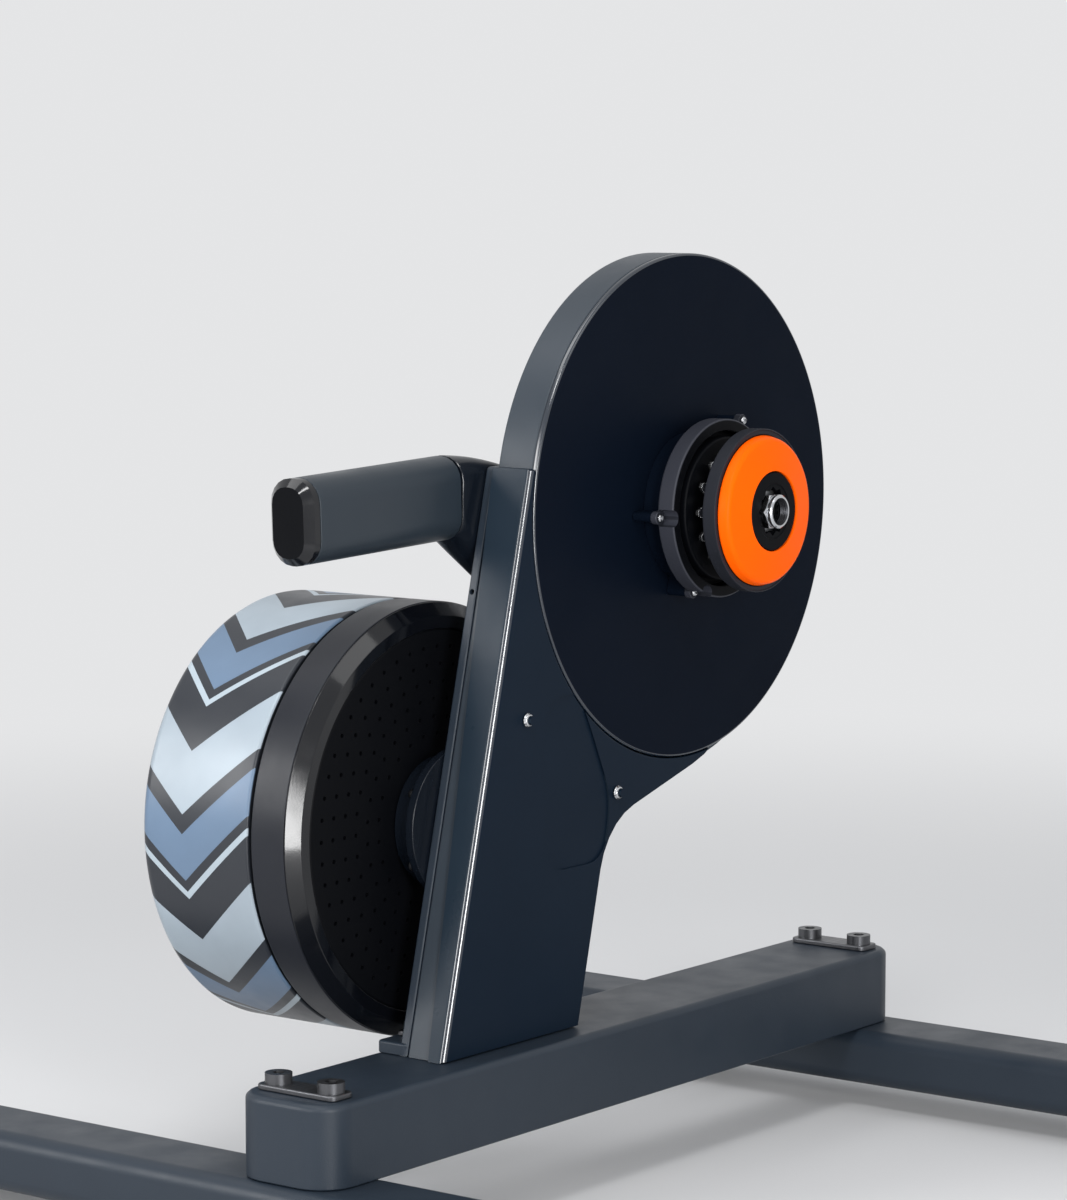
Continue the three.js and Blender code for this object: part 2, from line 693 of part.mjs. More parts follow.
function drivePulley() {
  const webY = (beltY0 + beltY1 - PULLEY_WEB) / 2;
  let pulley = turned(pulleyRim(pulleyRadius, pulleyRadius - PULLEY_RIM_DEPTH), WHEEL_STEPS);
  const inside = pulleyRadius - PULLEY_RIM_DEPTH / 2;
  pulley = pulley.add(rod(inside, webY, webY + PULLEY_WEB, WHEEL_STEPS));
  pulley = pulley.add(rod(PULLEY_HUB_RADIUS, hubFrontY, rimBackY));
  const bore = AXLE_RADIUS + 2 * BEARING_STEP;
  pulley = pulley.subtract(rod(bore, hubFrontY - OVERRUN, rimBackY + OVERRUN));
  const seat = BEARING_RADIUS + GAP;
  const deep = BEARING_STEP + BEARING_WIDTH + GAP;
  pulley = pulley.subtract(rod(seat, hubFrontY - OVERRUN, hubFrontY + deep));
  pulley = pulley.subtract(rod(seat, rimBackY - deep, rimBackY + OVERRUN));
  const rimInside = pulleyRadius - PULLEY_RIM_DEPTH;
  const reach = (rimInside + PULLEY_HUB_RADIUS) / 2;
  const windowRadius = (rimInside - PULLEY_HUB_RADIUS) / 2 - PULLEY_WINDOW_MARGIN;
  const window = rod(windowRadius, rimFrontY, rimBackY, COARSE_STEPS);
  for (let i = 0; i < PULLEY_WINDOWS; i++) {
    const angle = (i * 2 * Math.PI) / PULLEY_WINDOWS;
    pulley = pulley.subtract(window.translate([reach * Math.cos(angle), 0, reach * Math.sin(angle)]));
  }
  return pulley;
}
upper.add(piece("drive_pulley", drivePulley(), "aluminium"));
for (const [name, y] of Object.entries(bearingPlaces)) {
  const bearing = ring(BEARING_RADIUS, AXLE_RADIUS + GAP, y, y + BEARING_WIDTH);
  upper.add(piece(`pulley_bearing_${name}`, bearing, "bright_steel"));
}

// The belt lies on both pulleys, in straight runs between them.
const BELT_ARC_STEPS = 14;
function beltLoop(seatLift) {
  const shape = new THREE.Shape();
  const large = pulleyRadius + seatLift;
  const small = SMALL_PULLEY_RADIUS + seatLift;
  shape.absarc(0, 0, large, lowerRun, upperRun + 2 * Math.PI, false);
  shape.absarc(shaftX, shaftZ, small, upperRun, lowerRun, false);
  shape.closePath();
  return shape;
}
function driveBelt() {
  const loop = prismY(beltLoop(GAP + BELT_THICKNESS), beltY0, beltY1, BELT_ARC_STEPS);
  const inside = prismY(beltLoop(GAP), beltY0 - OVERRUN, beltY1 + OVERRUN, BELT_ARC_STEPS);
  return loop.subtract(inside);
}
upper.add(piece("drive_belt", driveBelt(), "rubber"));

// Tension arm: holds an idler against the belt's lower run, and swings up off it
const IDLER_ALONG = 112; // idler down the lower run from the large pulley
const PIVOT_ALONG = 132;
const PIVOT_RAISE = 36; // pivot further inside the loop than the idler
const ARM_THICKNESS = 2.6;
const ARM_RADIUS = 8;
const ARM_BACK_CLEARANCE = 0.8; // arm to the housing's back wall
const IDLER_PIN_RADIUS = 4;
const PIVOT_HEAD_RADIUS = 6;
const PIVOT_HEAD_HEIGHT = 2;
const PIVOT_THREAD_REACH = 4; // pivot pin beyond the frame plate's back
const ARM_SLEEVE_WALL = 2;
const SPRING_WIRE_RADIUS = 0.8;
const SPRING_TURNS = 3;
const SPRING_CLEARANCE = 0.6; // spring's coil to the sleeve inside it
const SPRING_STEPS_PER_TURN = 12;
const SPRING_SIDES = 6;

const idlerInset = pulleyRadius - IDLER_RADIUS;
const idlerPlace = alongRun(idlerInset, IDLER_ALONG);
const pivotPlace = alongRun(idlerInset - PIVOT_RAISE, PIVOT_ALONG);
const armBackY = backY - HOUSING_WALL - ARM_BACK_CLEARANCE;
const armFrontY = armBackY - ARM_THICKNESS;
const sleeveRadius = PIVOT_RADIUS + GAP + ARM_SLEEVE_WALL;
const coilRadius = sleeveRadius + SPRING_CLEARANCE + SPRING_WIRE_RADIUS;

function tensionArm() {
  const towards = idlerPlace.clone().sub(pivotPlace);
  const side = new THREE.Vector2(-towards.y, towards.x).setLength(ARM_RADIUS);
  const shape = new THREE.Shape();
  shape.moveTo(side.x, side.y);
  shape.lineTo(-side.x, -side.y);
  shape.lineTo(towards.x - side.x, towards.y - side.y);
  shape.lineTo(towards.x + side.x, towards.y + side.y);
  shape.closePath();
  let arm = prismY(shape, armFrontY, armBackY);
  arm = arm.add(rod(ARM_RADIUS, armFrontY, armBackY));
  arm = arm.add(rod(ARM_RADIUS, armFrontY, armBackY).translate([towards.x, 0, towards.y]));
  arm = arm.add(rod(sleeveRadius, beltY0, armBackY));
  arm = arm.subtract(rod(PIVOT_RADIUS + GAP, beltY0 - OVERRUN, armBackY + OVERRUN));
  const pin = rod(IDLER_PIN_RADIUS, beltY0, armBackY, COARSE_STEPS);
  return arm.add(pin.translate([towards.x, 0, towards.y]));
}
const arm = new THREE.Group();
arm.position.set(pivotPlace.x, 0, pivotPlace.y);
upper.add(arm);
arm.add(piece("tension_arm", tensionArm(), "aluminium"));

function idlerPulley() {
  const rimWidth = armFrontY - GAP;
  return ring(IDLER_RADIUS, IDLER_PIN_RADIUS + GAP, beltY0, Math.min(beltY1, rimWidth));
}
const idler = piece("idler_pulley", idlerPulley(), "black_plastic");
idler.position.set(idlerPlace.x, 0, idlerPlace.y);
upper.add(idler);

function pivotPin() {
  const headY = beltY0 - GAP;
  return turned([
    [0, headY - PIVOT_HEAD_HEIGHT],
    [PIVOT_HEAD_RADIUS, headY - PIVOT_HEAD_HEIGHT],
    [PIVOT_HEAD_RADIUS, headY],
    [PIVOT_RADIUS, headY],
    [PIVOT_RADIUS, frameBackY + PIVOT_THREAD_REACH],
    [0, frameBackY + PIVOT_THREAD_REACH],
  ]);
}
const pin = piece("pivot_pin", pivotPin(), "bright_steel");
pin.position.copy(arm.position);
upper.add(pin);

// A coil of round wire about the arm's sleeve.
class CoilCurve extends THREE.Curve {
  getPoint(t, target = new THREE.Vector3()) {
    const angle = t * SPRING_TURNS * 2 * Math.PI;
    const span = SPRING_TURNS * (2 * SPRING_WIRE_RADIUS + GAP);
    const start = armFrontY - GAP - SPRING_WIRE_RADIUS - span;
    return target.set(coilRadius * Math.cos(angle), start + t * span, coilRadius * Math.sin(angle));
  }
}
function tensionSpring() {
  const section = new THREE.Shape();
  section.absarc(0, 0, SPRING_WIRE_RADIUS, 0, 2 * Math.PI, false);
  const geometry = new THREE.ExtrudeGeometry(section, {
    steps: SPRING_TURNS * SPRING_STEPS_PER_TURN,
    curveSegments: SPRING_SIDES / 2,
    extrudePath: new CoilCurve(),
  });
  return toSolid(geometry);
}
const spring = piece("tension_spring", tensionSpring(), "bright_steel");
spring.position.copy(arm.position);
upper.add(spring);

// Flywheel shaft and its bearings in a carrier on the frame plate
const CARRIER_FLANGE_RADIUS = 38;
const CARRIER_FLANGE_THICKNESS = 5;
const CARRIER_SHOULDER_RADIUS = 32;
const CARRIER_RADIUS = 24;
const CARRIER_REACH = 35; // carrier's nose behind the frame plate
const SHAFT_BEARING_RADIUS = 16;
const SHAFT_BEARING_WIDTH = 9;
const COVER_STANDOFF = 46.6; // brake cover's face behind the housing's face
const COVER_RIM_CHAMFER = 5.3;
const COVER_RIM_WIDTH = 20.5;
const COVER_FACE_SHARE = 0.935; // cover's flat face, as a share of the flywheel's radius
const COVER_WALL = 2.5;
const RIM_GAP = 2.6; // between the cover and the flywheel
const FLYWHEEL_RIM = 7;
const FLYWHEEL_WEB = 8;
const FLYWHEEL_HUB_RADIUS = 20;
const FLYWHEEL_EDGE = 5;
const FLYWHEEL_HUB_CLEARANCE = 2;

const coverFaceY = faceY + COVER_STANDOFF;
const coverRimY = coverFaceY + COVER_RIM_CHAMFER;
const coverEndY = coverRimY + COVER_RIM_WIDTH;
const flywheelY0 = coverEndY + RIM_GAP;
const flywheelY1 = flywheelY0 + FLYWHEEL_WIDTH;
const carrierEndY = frameBackY + CARRIER_REACH;
const hubStartY = carrierEndY + FLYWHEEL_HUB_CLEARANCE;

const shaftGroup = new THREE.Group();
shaftGroup.position.set(shaftX, 0, shaftZ);
upper.add(shaftGroup);

const shaftFrontY = rimFrontY - GAP;
function flywheelShaft() {
  return rod(SHAFT_RADIUS, shaftFrontY, flywheelY1 - FLYWHEEL_EDGE);
}
shaftGroup.add(piece("flywheel_shaft", flywheelShaft(), "bright_steel"));

function smallPulley() {
  return turned(pulleyRim(SMALL_PULLEY_RADIUS, SHAFT_RADIUS + GAP));
}
shaftGroup.add(piece("small_pulley", smallPulley(), "dark_steel"));

const shaftBearings = {
  front: frameBackY,
  rear: carrierEndY - BEARING_STEP - SHAFT_BEARING_WIDTH,
};
for (const [name, y] of Object.entries(shaftBearings)) {
  const bearing = ring(SHAFT_BEARING_RADIUS, SHAFT_RADIUS + GAP, y, y + SHAFT_BEARING_WIDTH);
  shaftGroup.add(piece(`shaft_bearing_${name}`, bearing, "bright_steel"));
}

function bearingCarrier() {
  const start = frameBackY + GAP;
  let carrier = rod(CARRIER_FLANGE_RADIUS, start, start + CARRIER_FLANGE_THICKNESS);
  carrier = carrier.add(rod(CARRIER_SHOULDER_RADIUS, start, coverFaceY - GAP));
  carrier = carrier.add(rod(CARRIER_RADIUS, start, carrierEndY));
  const seat = SHAFT_BEARING_RADIUS + GAP;
  carrier = carrier.subtract(
    rod(SHAFT_RADIUS + SHAFT_CLEARANCE, start - OVERRUN, carrierEndY + OVERRUN),
  );
  carrier = carrier.subtract(rod(seat, start - OVERRUN, shaftBearings.front + SHAFT_BEARING_WIDTH + GAP));
  return carrier.subtract(rod(seat, shaftBearings.rear - GAP, carrierEndY + OVERRUN));
}
shaftGroup.add(piece("bearing_carrier", bearingCarrier(), "aluminium"));

// Flywheel: a cup with a heavy rim, open towards the brake
function flywheel() {
  const edge = FLYWHEEL_EDGE;
  return turned(
    [
      [SHAFT_RADIUS + GAP, hubStartY],
      [FLYWHEEL_HUB_RADIUS, hubStartY],
      [FLYWHEEL_HUB_RADIUS, flywheelY1 - edge - FLYWHEEL_WEB],
      [FLYWHEEL_RADIUS - FLYWHEEL_RIM, flywheelY1 - edge - FLYWHEEL_WEB],
      [FLYWHEEL_RADIUS - FLYWHEEL_RIM, flywheelY0],
      [FLYWHEEL_RADIUS - edge / 4, flywheelY0],
      [FLYWHEEL_RADIUS, flywheelY0 + edge / 4],
      [FLYWHEEL_RADIUS, flywheelY1 - edge],
      [FLYWHEEL_RADIUS - edge / 3, flywheelY1 - edge / 3],
      [FLYWHEEL_RADIUS - edge, flywheelY1],
      [FLYWHEEL_RADIUS - 2 * FLYWHEEL_RIM, flywheelY1],
      [FLYWHEEL_RADIUS - 3 * FLYWHEEL_RIM, flywheelY1 - edge],
      [SHAFT_RADIUS + GAP, flywheelY1 - edge],
    ],
    WHEEL_STEPS,
  );
}
shaftGroup.add(piece("flywheel", flywheel(), "flywheel_paint"));

// Brake: coil and claw poles inside the flywheel, on the back of a vented cover
const POLE_COUNT = 8;
const POLE_WIDTH = 22;
const POLE_DEPTH = 44; // poles behind the brake's core plate
const POLE_THICKNESS = 12;
const POLE_AIR_GAP = 4; // poles to the flywheel's rim
const CORE_PLATE = 6;
const COIL_WIDTH = 12;
const COIL_CLEARANCE = 11; // coil inside the poles
const COIL_DEPTH = 34;
const VENT_RADIUS = 3;
const VENT_ROW_SHARES = [0.68, 0.84]; // rows of round vents, of the cover's face radius
const VENT_SPACING = 22;
const VENT_SIDES = 6;

const coverFaceRadius = FLYWHEEL_RADIUS * COVER_FACE_SHARE;
function brakeCover() {
  let cover = turned(
    [
      [CARRIER_RADIUS + GAP, coverFaceY],
      [coverFaceRadius, coverFaceY],
      [FLYWHEEL_RADIUS, coverRimY],
      [FLYWHEEL_RADIUS, coverEndY],
      [FLYWHEEL_RADIUS - COVER_WALL, coverEndY],
      [FLYWHEEL_RADIUS - COVER_WALL, coverRimY + COVER_WALL / 2],
      [coverFaceRadius - COVER_WALL / 2, coverFaceY + COVER_WALL],
      [CARRIER_RADIUS + GAP, coverFaceY + COVER_WALL],
    ],
    WHEEL_STEPS,
  );
  const vent = rod(VENT_RADIUS, coverFaceY - OVERRUN, coverFaceY + COVER_WALL + OVERRUN, VENT_SIDES);
  for (const share of VENT_ROW_SHARES) {
    const reach = coverFaceRadius * share;
    const count = Math.round((2 * Math.PI * reach) / VENT_SPACING);
    for (let i = 0; i < count; i++) {
      const angle = (i * 2 * Math.PI) / count;
      cover = cover.subtract(vent.translate([reach * Math.cos(angle), 0, reach * Math.sin(angle)]));
    }
  }
  return cover;
}
shaftGroup.add(piece("brake_cover", brakeCover(), "gloss_plastic"));

const coreY = coverFaceY + COVER_WALL + GAP;
const poleReach = FLYWHEEL_RADIUS - FLYWHEEL_RIM - POLE_AIR_GAP;
const poleRoot = poleReach - POLE_THICKNESS;
function brakeCore() {
  let core = ring(poleRoot + POLE_THICKNESS / 2, CARRIER_RADIUS + GAP, coreY, coreY + CORE_PLATE);
  const pole = block(
    poleRoot,
    poleReach,
    coreY,
    coreY + CORE_PLATE + POLE_DEPTH,
    -POLE_WIDTH / 2,
    POLE_WIDTH / 2,
  );
  for (let i = 0; i < POLE_COUNT; i++) {
    core = core.add(pole.rotate([0, (i * 360) / POLE_COUNT, 0]));
  }
  const poleEnd = coreY + CORE_PLATE + POLE_DEPTH;
  return core.intersect(rod(poleReach, coreY - OVERRUN, poleEnd + OVERRUN, WHEEL_STEPS));
}
shaftGroup.add(piece("brake_core", brakeCore(), "dark_steel"));

function brakeCoil() {
  const start = coreY + CORE_PLATE + GAP;
  const outer = poleRoot - COIL_CLEARANCE;
  return ring(outer, outer - COIL_WIDTH, start, start + COIL_DEPTH);
}
shaftGroup.add(piece("brake_coil", brakeCoil(), "copper"));

function framePlate() {
  let plate = rod(DISC_RADIUS * PLATE_SHARE, plateFront, frameBackY, WHEEL_STEPS);
  plate = plate.add(prismY(neckOutline(0), plateFront, frameBackY));
  const footTop = neckBottom + FLANGE_FOOT_THICKNESS;
  const footBack = frameBackY + FLANGE_FOOT_WIDTH;
  let foot = block(neck.heel.x, neck.toe.x, plateFront, footBack, neckBottom, footTop);
  for (const x of footBoltXs) {
    const hole = rod(FOOT_BOLT_RADIUS + GAP, -OVERRUN, FLANGE_FOOT_THICKNESS + OVERRUN, COARSE_STEPS);
    foot = foot.subtract(upright(hole).translate([x, footBoltY, neckBottom]));
  }
  plate = plate.add(foot);
  plate = plate.subtract(rod(AXLE_RADIUS + GAP, plateFront - OVERRUN, frameBackY + OVERRUN));
  const shaftHole = rod(SHAFT_RADIUS + SHAFT_CLEARANCE, plateFront - OVERRUN, frameBackY + OVERRUN);
  plate = plate.subtract(shaftHole.translate([shaftX, 0, shaftZ]));
  const pinHole = rod(PIVOT_RADIUS + GAP, plateFront - OVERRUN, frameBackY + OVERRUN, COARSE_STEPS);
  plate = plate.subtract(pinHole.translate([pivotPlace.x, 0, pivotPlace.y]));
  const socketHole = rod(SOCKET_RADIUS + GAP, plateFront - OVERRUN, frameBackY + OVERRUN, COARSE_STEPS);
  plate = plate.subtract(socketHole.translate([socketPlace.x, 0, socketPlace.z]));
  for (const { x, z } of Object.values(bracketBolts)) {
    const bore = rod(BRACKET_BOLT_RADIUS + GAP, plateFront - OVERRUN, frameBackY + OVERRUN, COARSE_STEPS);
    plate = plate.subtract(bore.translate([x, 0, z]));
  }
  return plate;
}
upper.add(piece("frame_plate", framePlate(), "frame_paint"));
trainer.add(piece("base_beam", baseBeam(), "frame_paint"));

const footBolts = boltStrap(footBoltXs[1] - footBoltXs[0], true, {
  radius: FOOT_BOLT_RADIUS,
  reach: FLANGE_FOOT_THICKNESS + BEAM_WALL + OVERRUN,
  headRadius: FOOT_BOLT_HEAD_RADIUS,
  headHeight: FOOT_BOLT_HEAD_HEIGHT,
  socketRadius: FOOT_BOLT_SOCKET_RADIUS,
});
const frameBolts = piece("frame_foot_bolts", footBolts, "dark_steel");
frameBolts.position.set(
  (footBoltXs[0] + footBoltXs[1]) / 2,
  footBoltY,
  neckBottom + FLANGE_FOOT_THICKNESS + GAP,
);
upper.add(frameBolts);

function beltHousing() {
  let housing = caseSolid(0, rimY, backY);
  housing = housing.subtract(caseSolid(HOUSING_WALL, rimY - OVERRUN, backY - HOUSING_WALL));
  for (const { x, y } of Object.values(coverScrews)) {
    const boss = rod(COVER_SCREW_BOSS_RADIUS, rimY, backY - HOUSING_WALL / 2, COARSE_STEPS);
    const bore = rod(COVER_SCREW_RADIUS + GAP, rimY - OVERRUN, backY - HOUSING_WALL, COARSE_STEPS);
    housing = housing.add(boss.translate([x, 0, y])).subtract(bore.translate([x, 0, y]));
  }
  const postY = boardY + BOARD_THICKNESS + GAP;
  const post = rod(BOARD_POST_RADIUS, postY, backY - HOUSING_WALL / 2, COARSE_STEPS);
  for (const along of [-1, 1]) {
    for (const up of [-1, 1]) {
      const x = boardPlace.x + along * (BOARD_WIDTH / 2 - BOARD_POST_RADIUS);
      const z = boardPlace.z + up * (BOARD_HEIGHT / 2 - BOARD_POST_RADIUS);
      housing = housing.add(post.translate([x, 0, z]));
    }
  }
  const back = [backY - HOUSING_WALL - OVERRUN, backY + OVERRUN];
  housing = housing.subtract(rod(AXLE_RADIUS + GAP, ...back));
  const shaftHole = rod(SHAFT_RADIUS + SHAFT_CLEARANCE, ...back);
  housing = housing.subtract(shaftHole.translate([shaftX, 0, shaftZ]));
  const pinHole = rod(PIVOT_RADIUS + GAP, ...back, COARSE_STEPS);
  housing = housing.subtract(pinHole.translate([pivotPlace.x, 0, pivotPlace.y]));
  const socketHole = rod(SOCKET_RADIUS + GAP, ...back, COARSE_STEPS);
  return housing.subtract(socketHole.translate([socketPlace.x, 0, socketPlace.z]));
}
upper.add(piece("belt_housing", beltHousing(), "case_plastic"));

// Control board, in the foot of the neck, with the power socket behind it
function circuitBoard() {
  const { x, z } = boardPlace;
  return block(
    x - BOARD_WIDTH / 2,
    x + BOARD_WIDTH / 2,
    boardY,
    boardY + BOARD_THICKNESS,
    z - BOARD_HEIGHT / 2,
    z + BOARD_HEIGHT / 2,
  );
}
upper.add(piece("circuit_board", circuitBoard(), "board_green"));

const onBoardY = boardY + BOARD_THICKNESS + GAP;
function powerSocket() {
  const end = frameBackY + SOCKET_PROUD;
  const hollow = [SOCKET_RADIUS - SOCKET_WALL, SOCKET_PIN_RADIUS, end - SOCKET_DEPTH, end + OVERRUN];
  return rod(SOCKET_RADIUS, onBoardY, end, COARSE_STEPS).subtract(ring(...hollow, COARSE_STEPS));
}
const socket = piece("power_socket", powerSocket(), "black_plastic");
socket.position.set(socketPlace.x, 0, socketPlace.z);
upper.add(socket);

// Axle: a fixed hollow tube, held in a boss on the frame plate, with an end cap at each dropout
const AXLE_END_RADIUS = 7.4; // stepped ends that the caps sleeve over
const AXLE_END_LENGTH = 3.8;
const CAP_BORE_RADIUS = 6.1; // for the bike's 12 mm through axle
const CAP_WALL_LENGTH = 4.5; // of the end cap, beyond the axle's end
const CAP_RING_RADIUS = 8.5;
const CAP_RING_LENGTH = 2.4;
const CAP_HEX_RADIUS = 9.6; // over the corners
const LEFT_CAP_FLANGE_RADIUS = 14;
const LEFT_CAP_FLANGE_LENGTH = 3;
const SUPPORT_FLANGE_RADIUS = 34;
const SUPPORT_FLANGE_THICKNESS = 5;
const SUPPORT_ROOT_RADIUS = 24;
const SUPPORT_NOSE_RADIUS = 16;

const dropoutRightY = -DROPOUT_SPAN / 2;
const dropoutLeftY = DROPOUT_SPAN / 2;
const capInnerLength = CAP_WALL_LENGTH + GAP + AXLE_END_LENGTH;

function axle() {
  const end0 = dropoutRightY + CAP_WALL_LENGTH + GAP;
  const end1 = dropoutLeftY - CAP_WALL_LENGTH - GAP;
  const collar1 = backY - HOUSING_WALL - GAP;
  const collar0 = collar1 - AXLE_COLLAR_WIDTH;
  return turned([
    [AXLE_BORE_RADIUS, end0],
    [AXLE_END_RADIUS, end0],
    [AXLE_END_RADIUS, end0 + AXLE_END_LENGTH],
    [AXLE_RADIUS, end0 + AXLE_END_LENGTH],
    [AXLE_RADIUS, collar0],
    [AXLE_COLLAR_RADIUS, collar0],
    [AXLE_COLLAR_RADIUS, collar1],
    [AXLE_RADIUS, collar1],
    [AXLE_RADIUS, end1 - AXLE_END_LENGTH],
    [AXLE_END_RADIUS, end1 - AXLE_END_LENGTH],
    [AXLE_END_RADIUS, end1],
    [AXLE_BORE_RADIUS, end1],
  ]);
}
upper.add(piece("axle", axle(), "bright_steel"));

// An end cap, from its dropout face at y = 0 inwards: a ring, then a hexagon sleeved over the axle.
function endCap(flanged) {
  const length = capInnerLength - GAP;
  let cap = rod(CAP_RING_RADIUS, 0, CAP_RING_LENGTH);
  cap = cap.add(rod(CAP_HEX_RADIUS, CAP_RING_LENGTH / 2, length, HEX_SIDES));
  if (flanged) {
    cap = cap.add(rod(LEFT_CAP_FLANGE_RADIUS, length - LEFT_CAP_FLANGE_LENGTH, length));
  }
  cap = cap.subtract(rod(CAP_BORE_RADIUS, -OVERRUN, CAP_WALL_LENGTH + OVERRUN));
  return cap.subtract(rod(AXLE_END_RADIUS + GAP, CAP_WALL_LENGTH, length + OVERRUN));
}
const rightCap = piece("end_cap_right", endCap(false), "bright_steel");
rightCap.position.y = dropoutRightY;
const leftCap = piece("end_cap_left", endCap(true).rotate([0, 0, 180]), "bright_steel");
leftCap.position.y = dropoutLeftY;
upper.add(rightCap, leftCap);

function axleSupport() {
  const start = frameBackY + GAP;
  const end = dropoutLeftY - capInnerLength;
  return turned([
    [AXLE_RADIUS + GAP, start],
    [SUPPORT_FLANGE_RADIUS, start],
    [SUPPORT_FLANGE_RADIUS, start + SUPPORT_FLANGE_THICKNESS],
    [SUPPORT_ROOT_RADIUS, start + SUPPORT_FLANGE_THICKNESS],
    [SUPPORT_NOSE_RADIUS, end],
    [AXLE_RADIUS + GAP, end],
  ]);
}
upper.add(piece("axle_support", axleSupport(), "aluminium"));

// Hub: a freehub body on the pulley's hub, carrying one sprocket between two chain guards
const FREEHUB_RADIUS = 17.2;
const SPLINE_COUNT = 9;
const SPLINE_DEPTH = 1.3;
const SPLINE_SHARES = { ridge: 0.7, valleyStart: 0.75, valleyEnd: 0.95 }; // of one spline's turn
const SPROCKET_TEETH = 14;
const CHAIN_PITCH = 12.7;
const CHAIN_ROLLER_RADIUS = 3.97;
const TOOTH_RISE = 2.6; // tooth tips outside the pitch circle
const TOOTH_TIP_WIDTH = 2;
const SPROCKET_THICKNESS = 2;
const SPROCKET_STANDOFF = 28.5; // sprocket's middle in front of the housing's face
const GUARD_RING_RADIUS = 45.5;
const GUARD_RING_WALL = 6;
const GUARD_RING_STANDOFF = 14;
const GUARD_RING_DEPTH = 9.8;
const GUARD_RING_PLATE = 2.4; // thickness of the plate between its boss and its band
const GUARD_BOSS_RADIUS = 38;
const GUARD_BOSS_WALL = 3;
const LUG_ANGLES = [57, 183, 250];
const LUG_REACHES = [51.2, 45.2, 44.8]; // from the axle to each lug's screw
const LUG_RADIUS = 3.3;
const LUG_DEPTH = 1.5; // lug's seat in front of the ring's back
const LUG_NOTCH_RADIUS = 4.3; // notch in the ring in front of a lug, for its screw
const LUG_SCREW_RADIUS = 1.3;
const LUG_SCREW_HEAD_RADIUS = 2.1;
const LUG_SCREW_HEAD_HEIGHT = 1.2;
const INNER_GUARD_RADIUS = 36.5;
const INNER_GUARD_STANDOFF = 19;
const INNER_GUARD_DEPTH = 6;
const INNER_GUARD_WALL = 2;
const OUTER_GUARD_RADIUS = 41.4;
const OUTER_GUARD_STANDOFF = 38.3;
const OUTER_GUARD_DEPTH = 8;
const OUTER_GUARD_WALL = 3;
const CAP_STANDOFF = 45.7; // orange cap's outer edge in front of the housing's face
const CAP_RADIUS = 38;
const CAP_DISH = 8.7; // cap's hole stands this far in front of its edge
const CAP_SHOULDER = 1.7; // its face ends this far inside its edge
const CAP_SHOULDER_DEPTH = 5.7; // and this far in front of it
const CAP_TURN_SHARES = { inward: 0.35, back: 0.25 }; // of the shoulder, where the rim turns
const CAP_HOLE_RADIUS = 19.2;
const CAP_WALL = 2.2;
const LOCK_TEETH = 12;
const LOCK_BORE_RADIUS = 10.6;
const LOCK_TOOTH_DEPTH = 2;
const LOCK_THICKNESS = 4;
const LOCK_RECESS = 1.5; // lock ring's face behind the cap's hole edge

function splineShape(outer, depth) {
  const shape = new THREE.Shape();
  const pitch = (2 * Math.PI) / SPLINE_COUNT;
  for (let i = 0; i < SPLINE_COUNT; i++) {
    const { ridge, valleyStart, valleyEnd } = SPLINE_SHARES;
    shape.absarc(0, 0, outer, i * pitch, (i + ridge) * pitch, false);
    shape.absarc(0, 0, outer - depth, (i + valleyStart) * pitch, (i + valleyEnd) * pitch, false);
  }
  shape.closePath();
  return shape;
}

const sprocketY = faceY - SPROCKET_STANDOFF;
const outerGuardY = faceY - OUTER_GUARD_STANDOFF;
const capEdgeY = faceY - CAP_STANDOFF;
const capHoleY = capEdgeY - CAP_DISH;
const lockFaceY = capHoleY + LOCK_RECESS;
const freehubBackY = hubFrontY - GAP;
const freehubFrontY = lockFaceY + LOCK_THICKNESS + GAP;

function freehubBody() {
  const body = prismY(splineShape(FREEHUB_RADIUS, SPLINE_DEPTH), freehubFrontY, freehubBackY, 1);
  return body.subtract(rod(AXLE_RADIUS + GAP, freehubFrontY - OVERRUN, freehubBackY + OVERRUN));
}
upper.add(piece("freehub_body", freehubBody(), "aluminium"));
function splineBore(y0, y1) {
  return prismY(splineShape(FREEHUB_RADIUS + GAP, SPLINE_DEPTH), y0 - OVERRUN, y1 + OVERRUN, 1);
}

function sprocket() {
  const pitchRadius = CHAIN_PITCH / 2 / Math.sin(Math.PI / SPROCKET_TEETH);
  const tip = pitchRadius + TOOTH_RISE;
  const shape = new THREE.Shape();
  for (let i = 0; i < SPROCKET_TEETH; i++) {
    const toothAngle = (i * 2 * Math.PI) / SPROCKET_TEETH;
    const halfTip = TOOTH_TIP_WIDTH / 2 / tip;
    for (const side of [-1, 1]) {
      const angle = toothAngle + side * halfTip;
      const [x, z] = [tip * Math.cos(angle), tip * Math.sin(angle)];
      if (i === 0 && side < 0) shape.moveTo(x, z);
      else shape.lineTo(x, z);
    }
    const seatAngle = toothAngle + Math.PI / SPROCKET_TEETH;
    shape.absarc(
      pitchRadius * Math.cos(seatAngle),
      pitchRadius * Math.sin(seatAngle),
      CHAIN_ROLLER_RADIUS,
      seatAngle - Math.PI / 2,
      seatAngle + Math.PI / 2,
      true,
    );
  }
  shape.closePath();
  const y0 = sprocketY - SPROCKET_THICKNESS / 2;
  const y1 = sprocketY + SPROCKET_THICKNESS / 2;
  return prismY(shape, y0, y1, ARC_STEPS).subtract(splineBore(y0, y1));
}
upper.add(piece("sprocket", sprocket(), "bright_steel"));

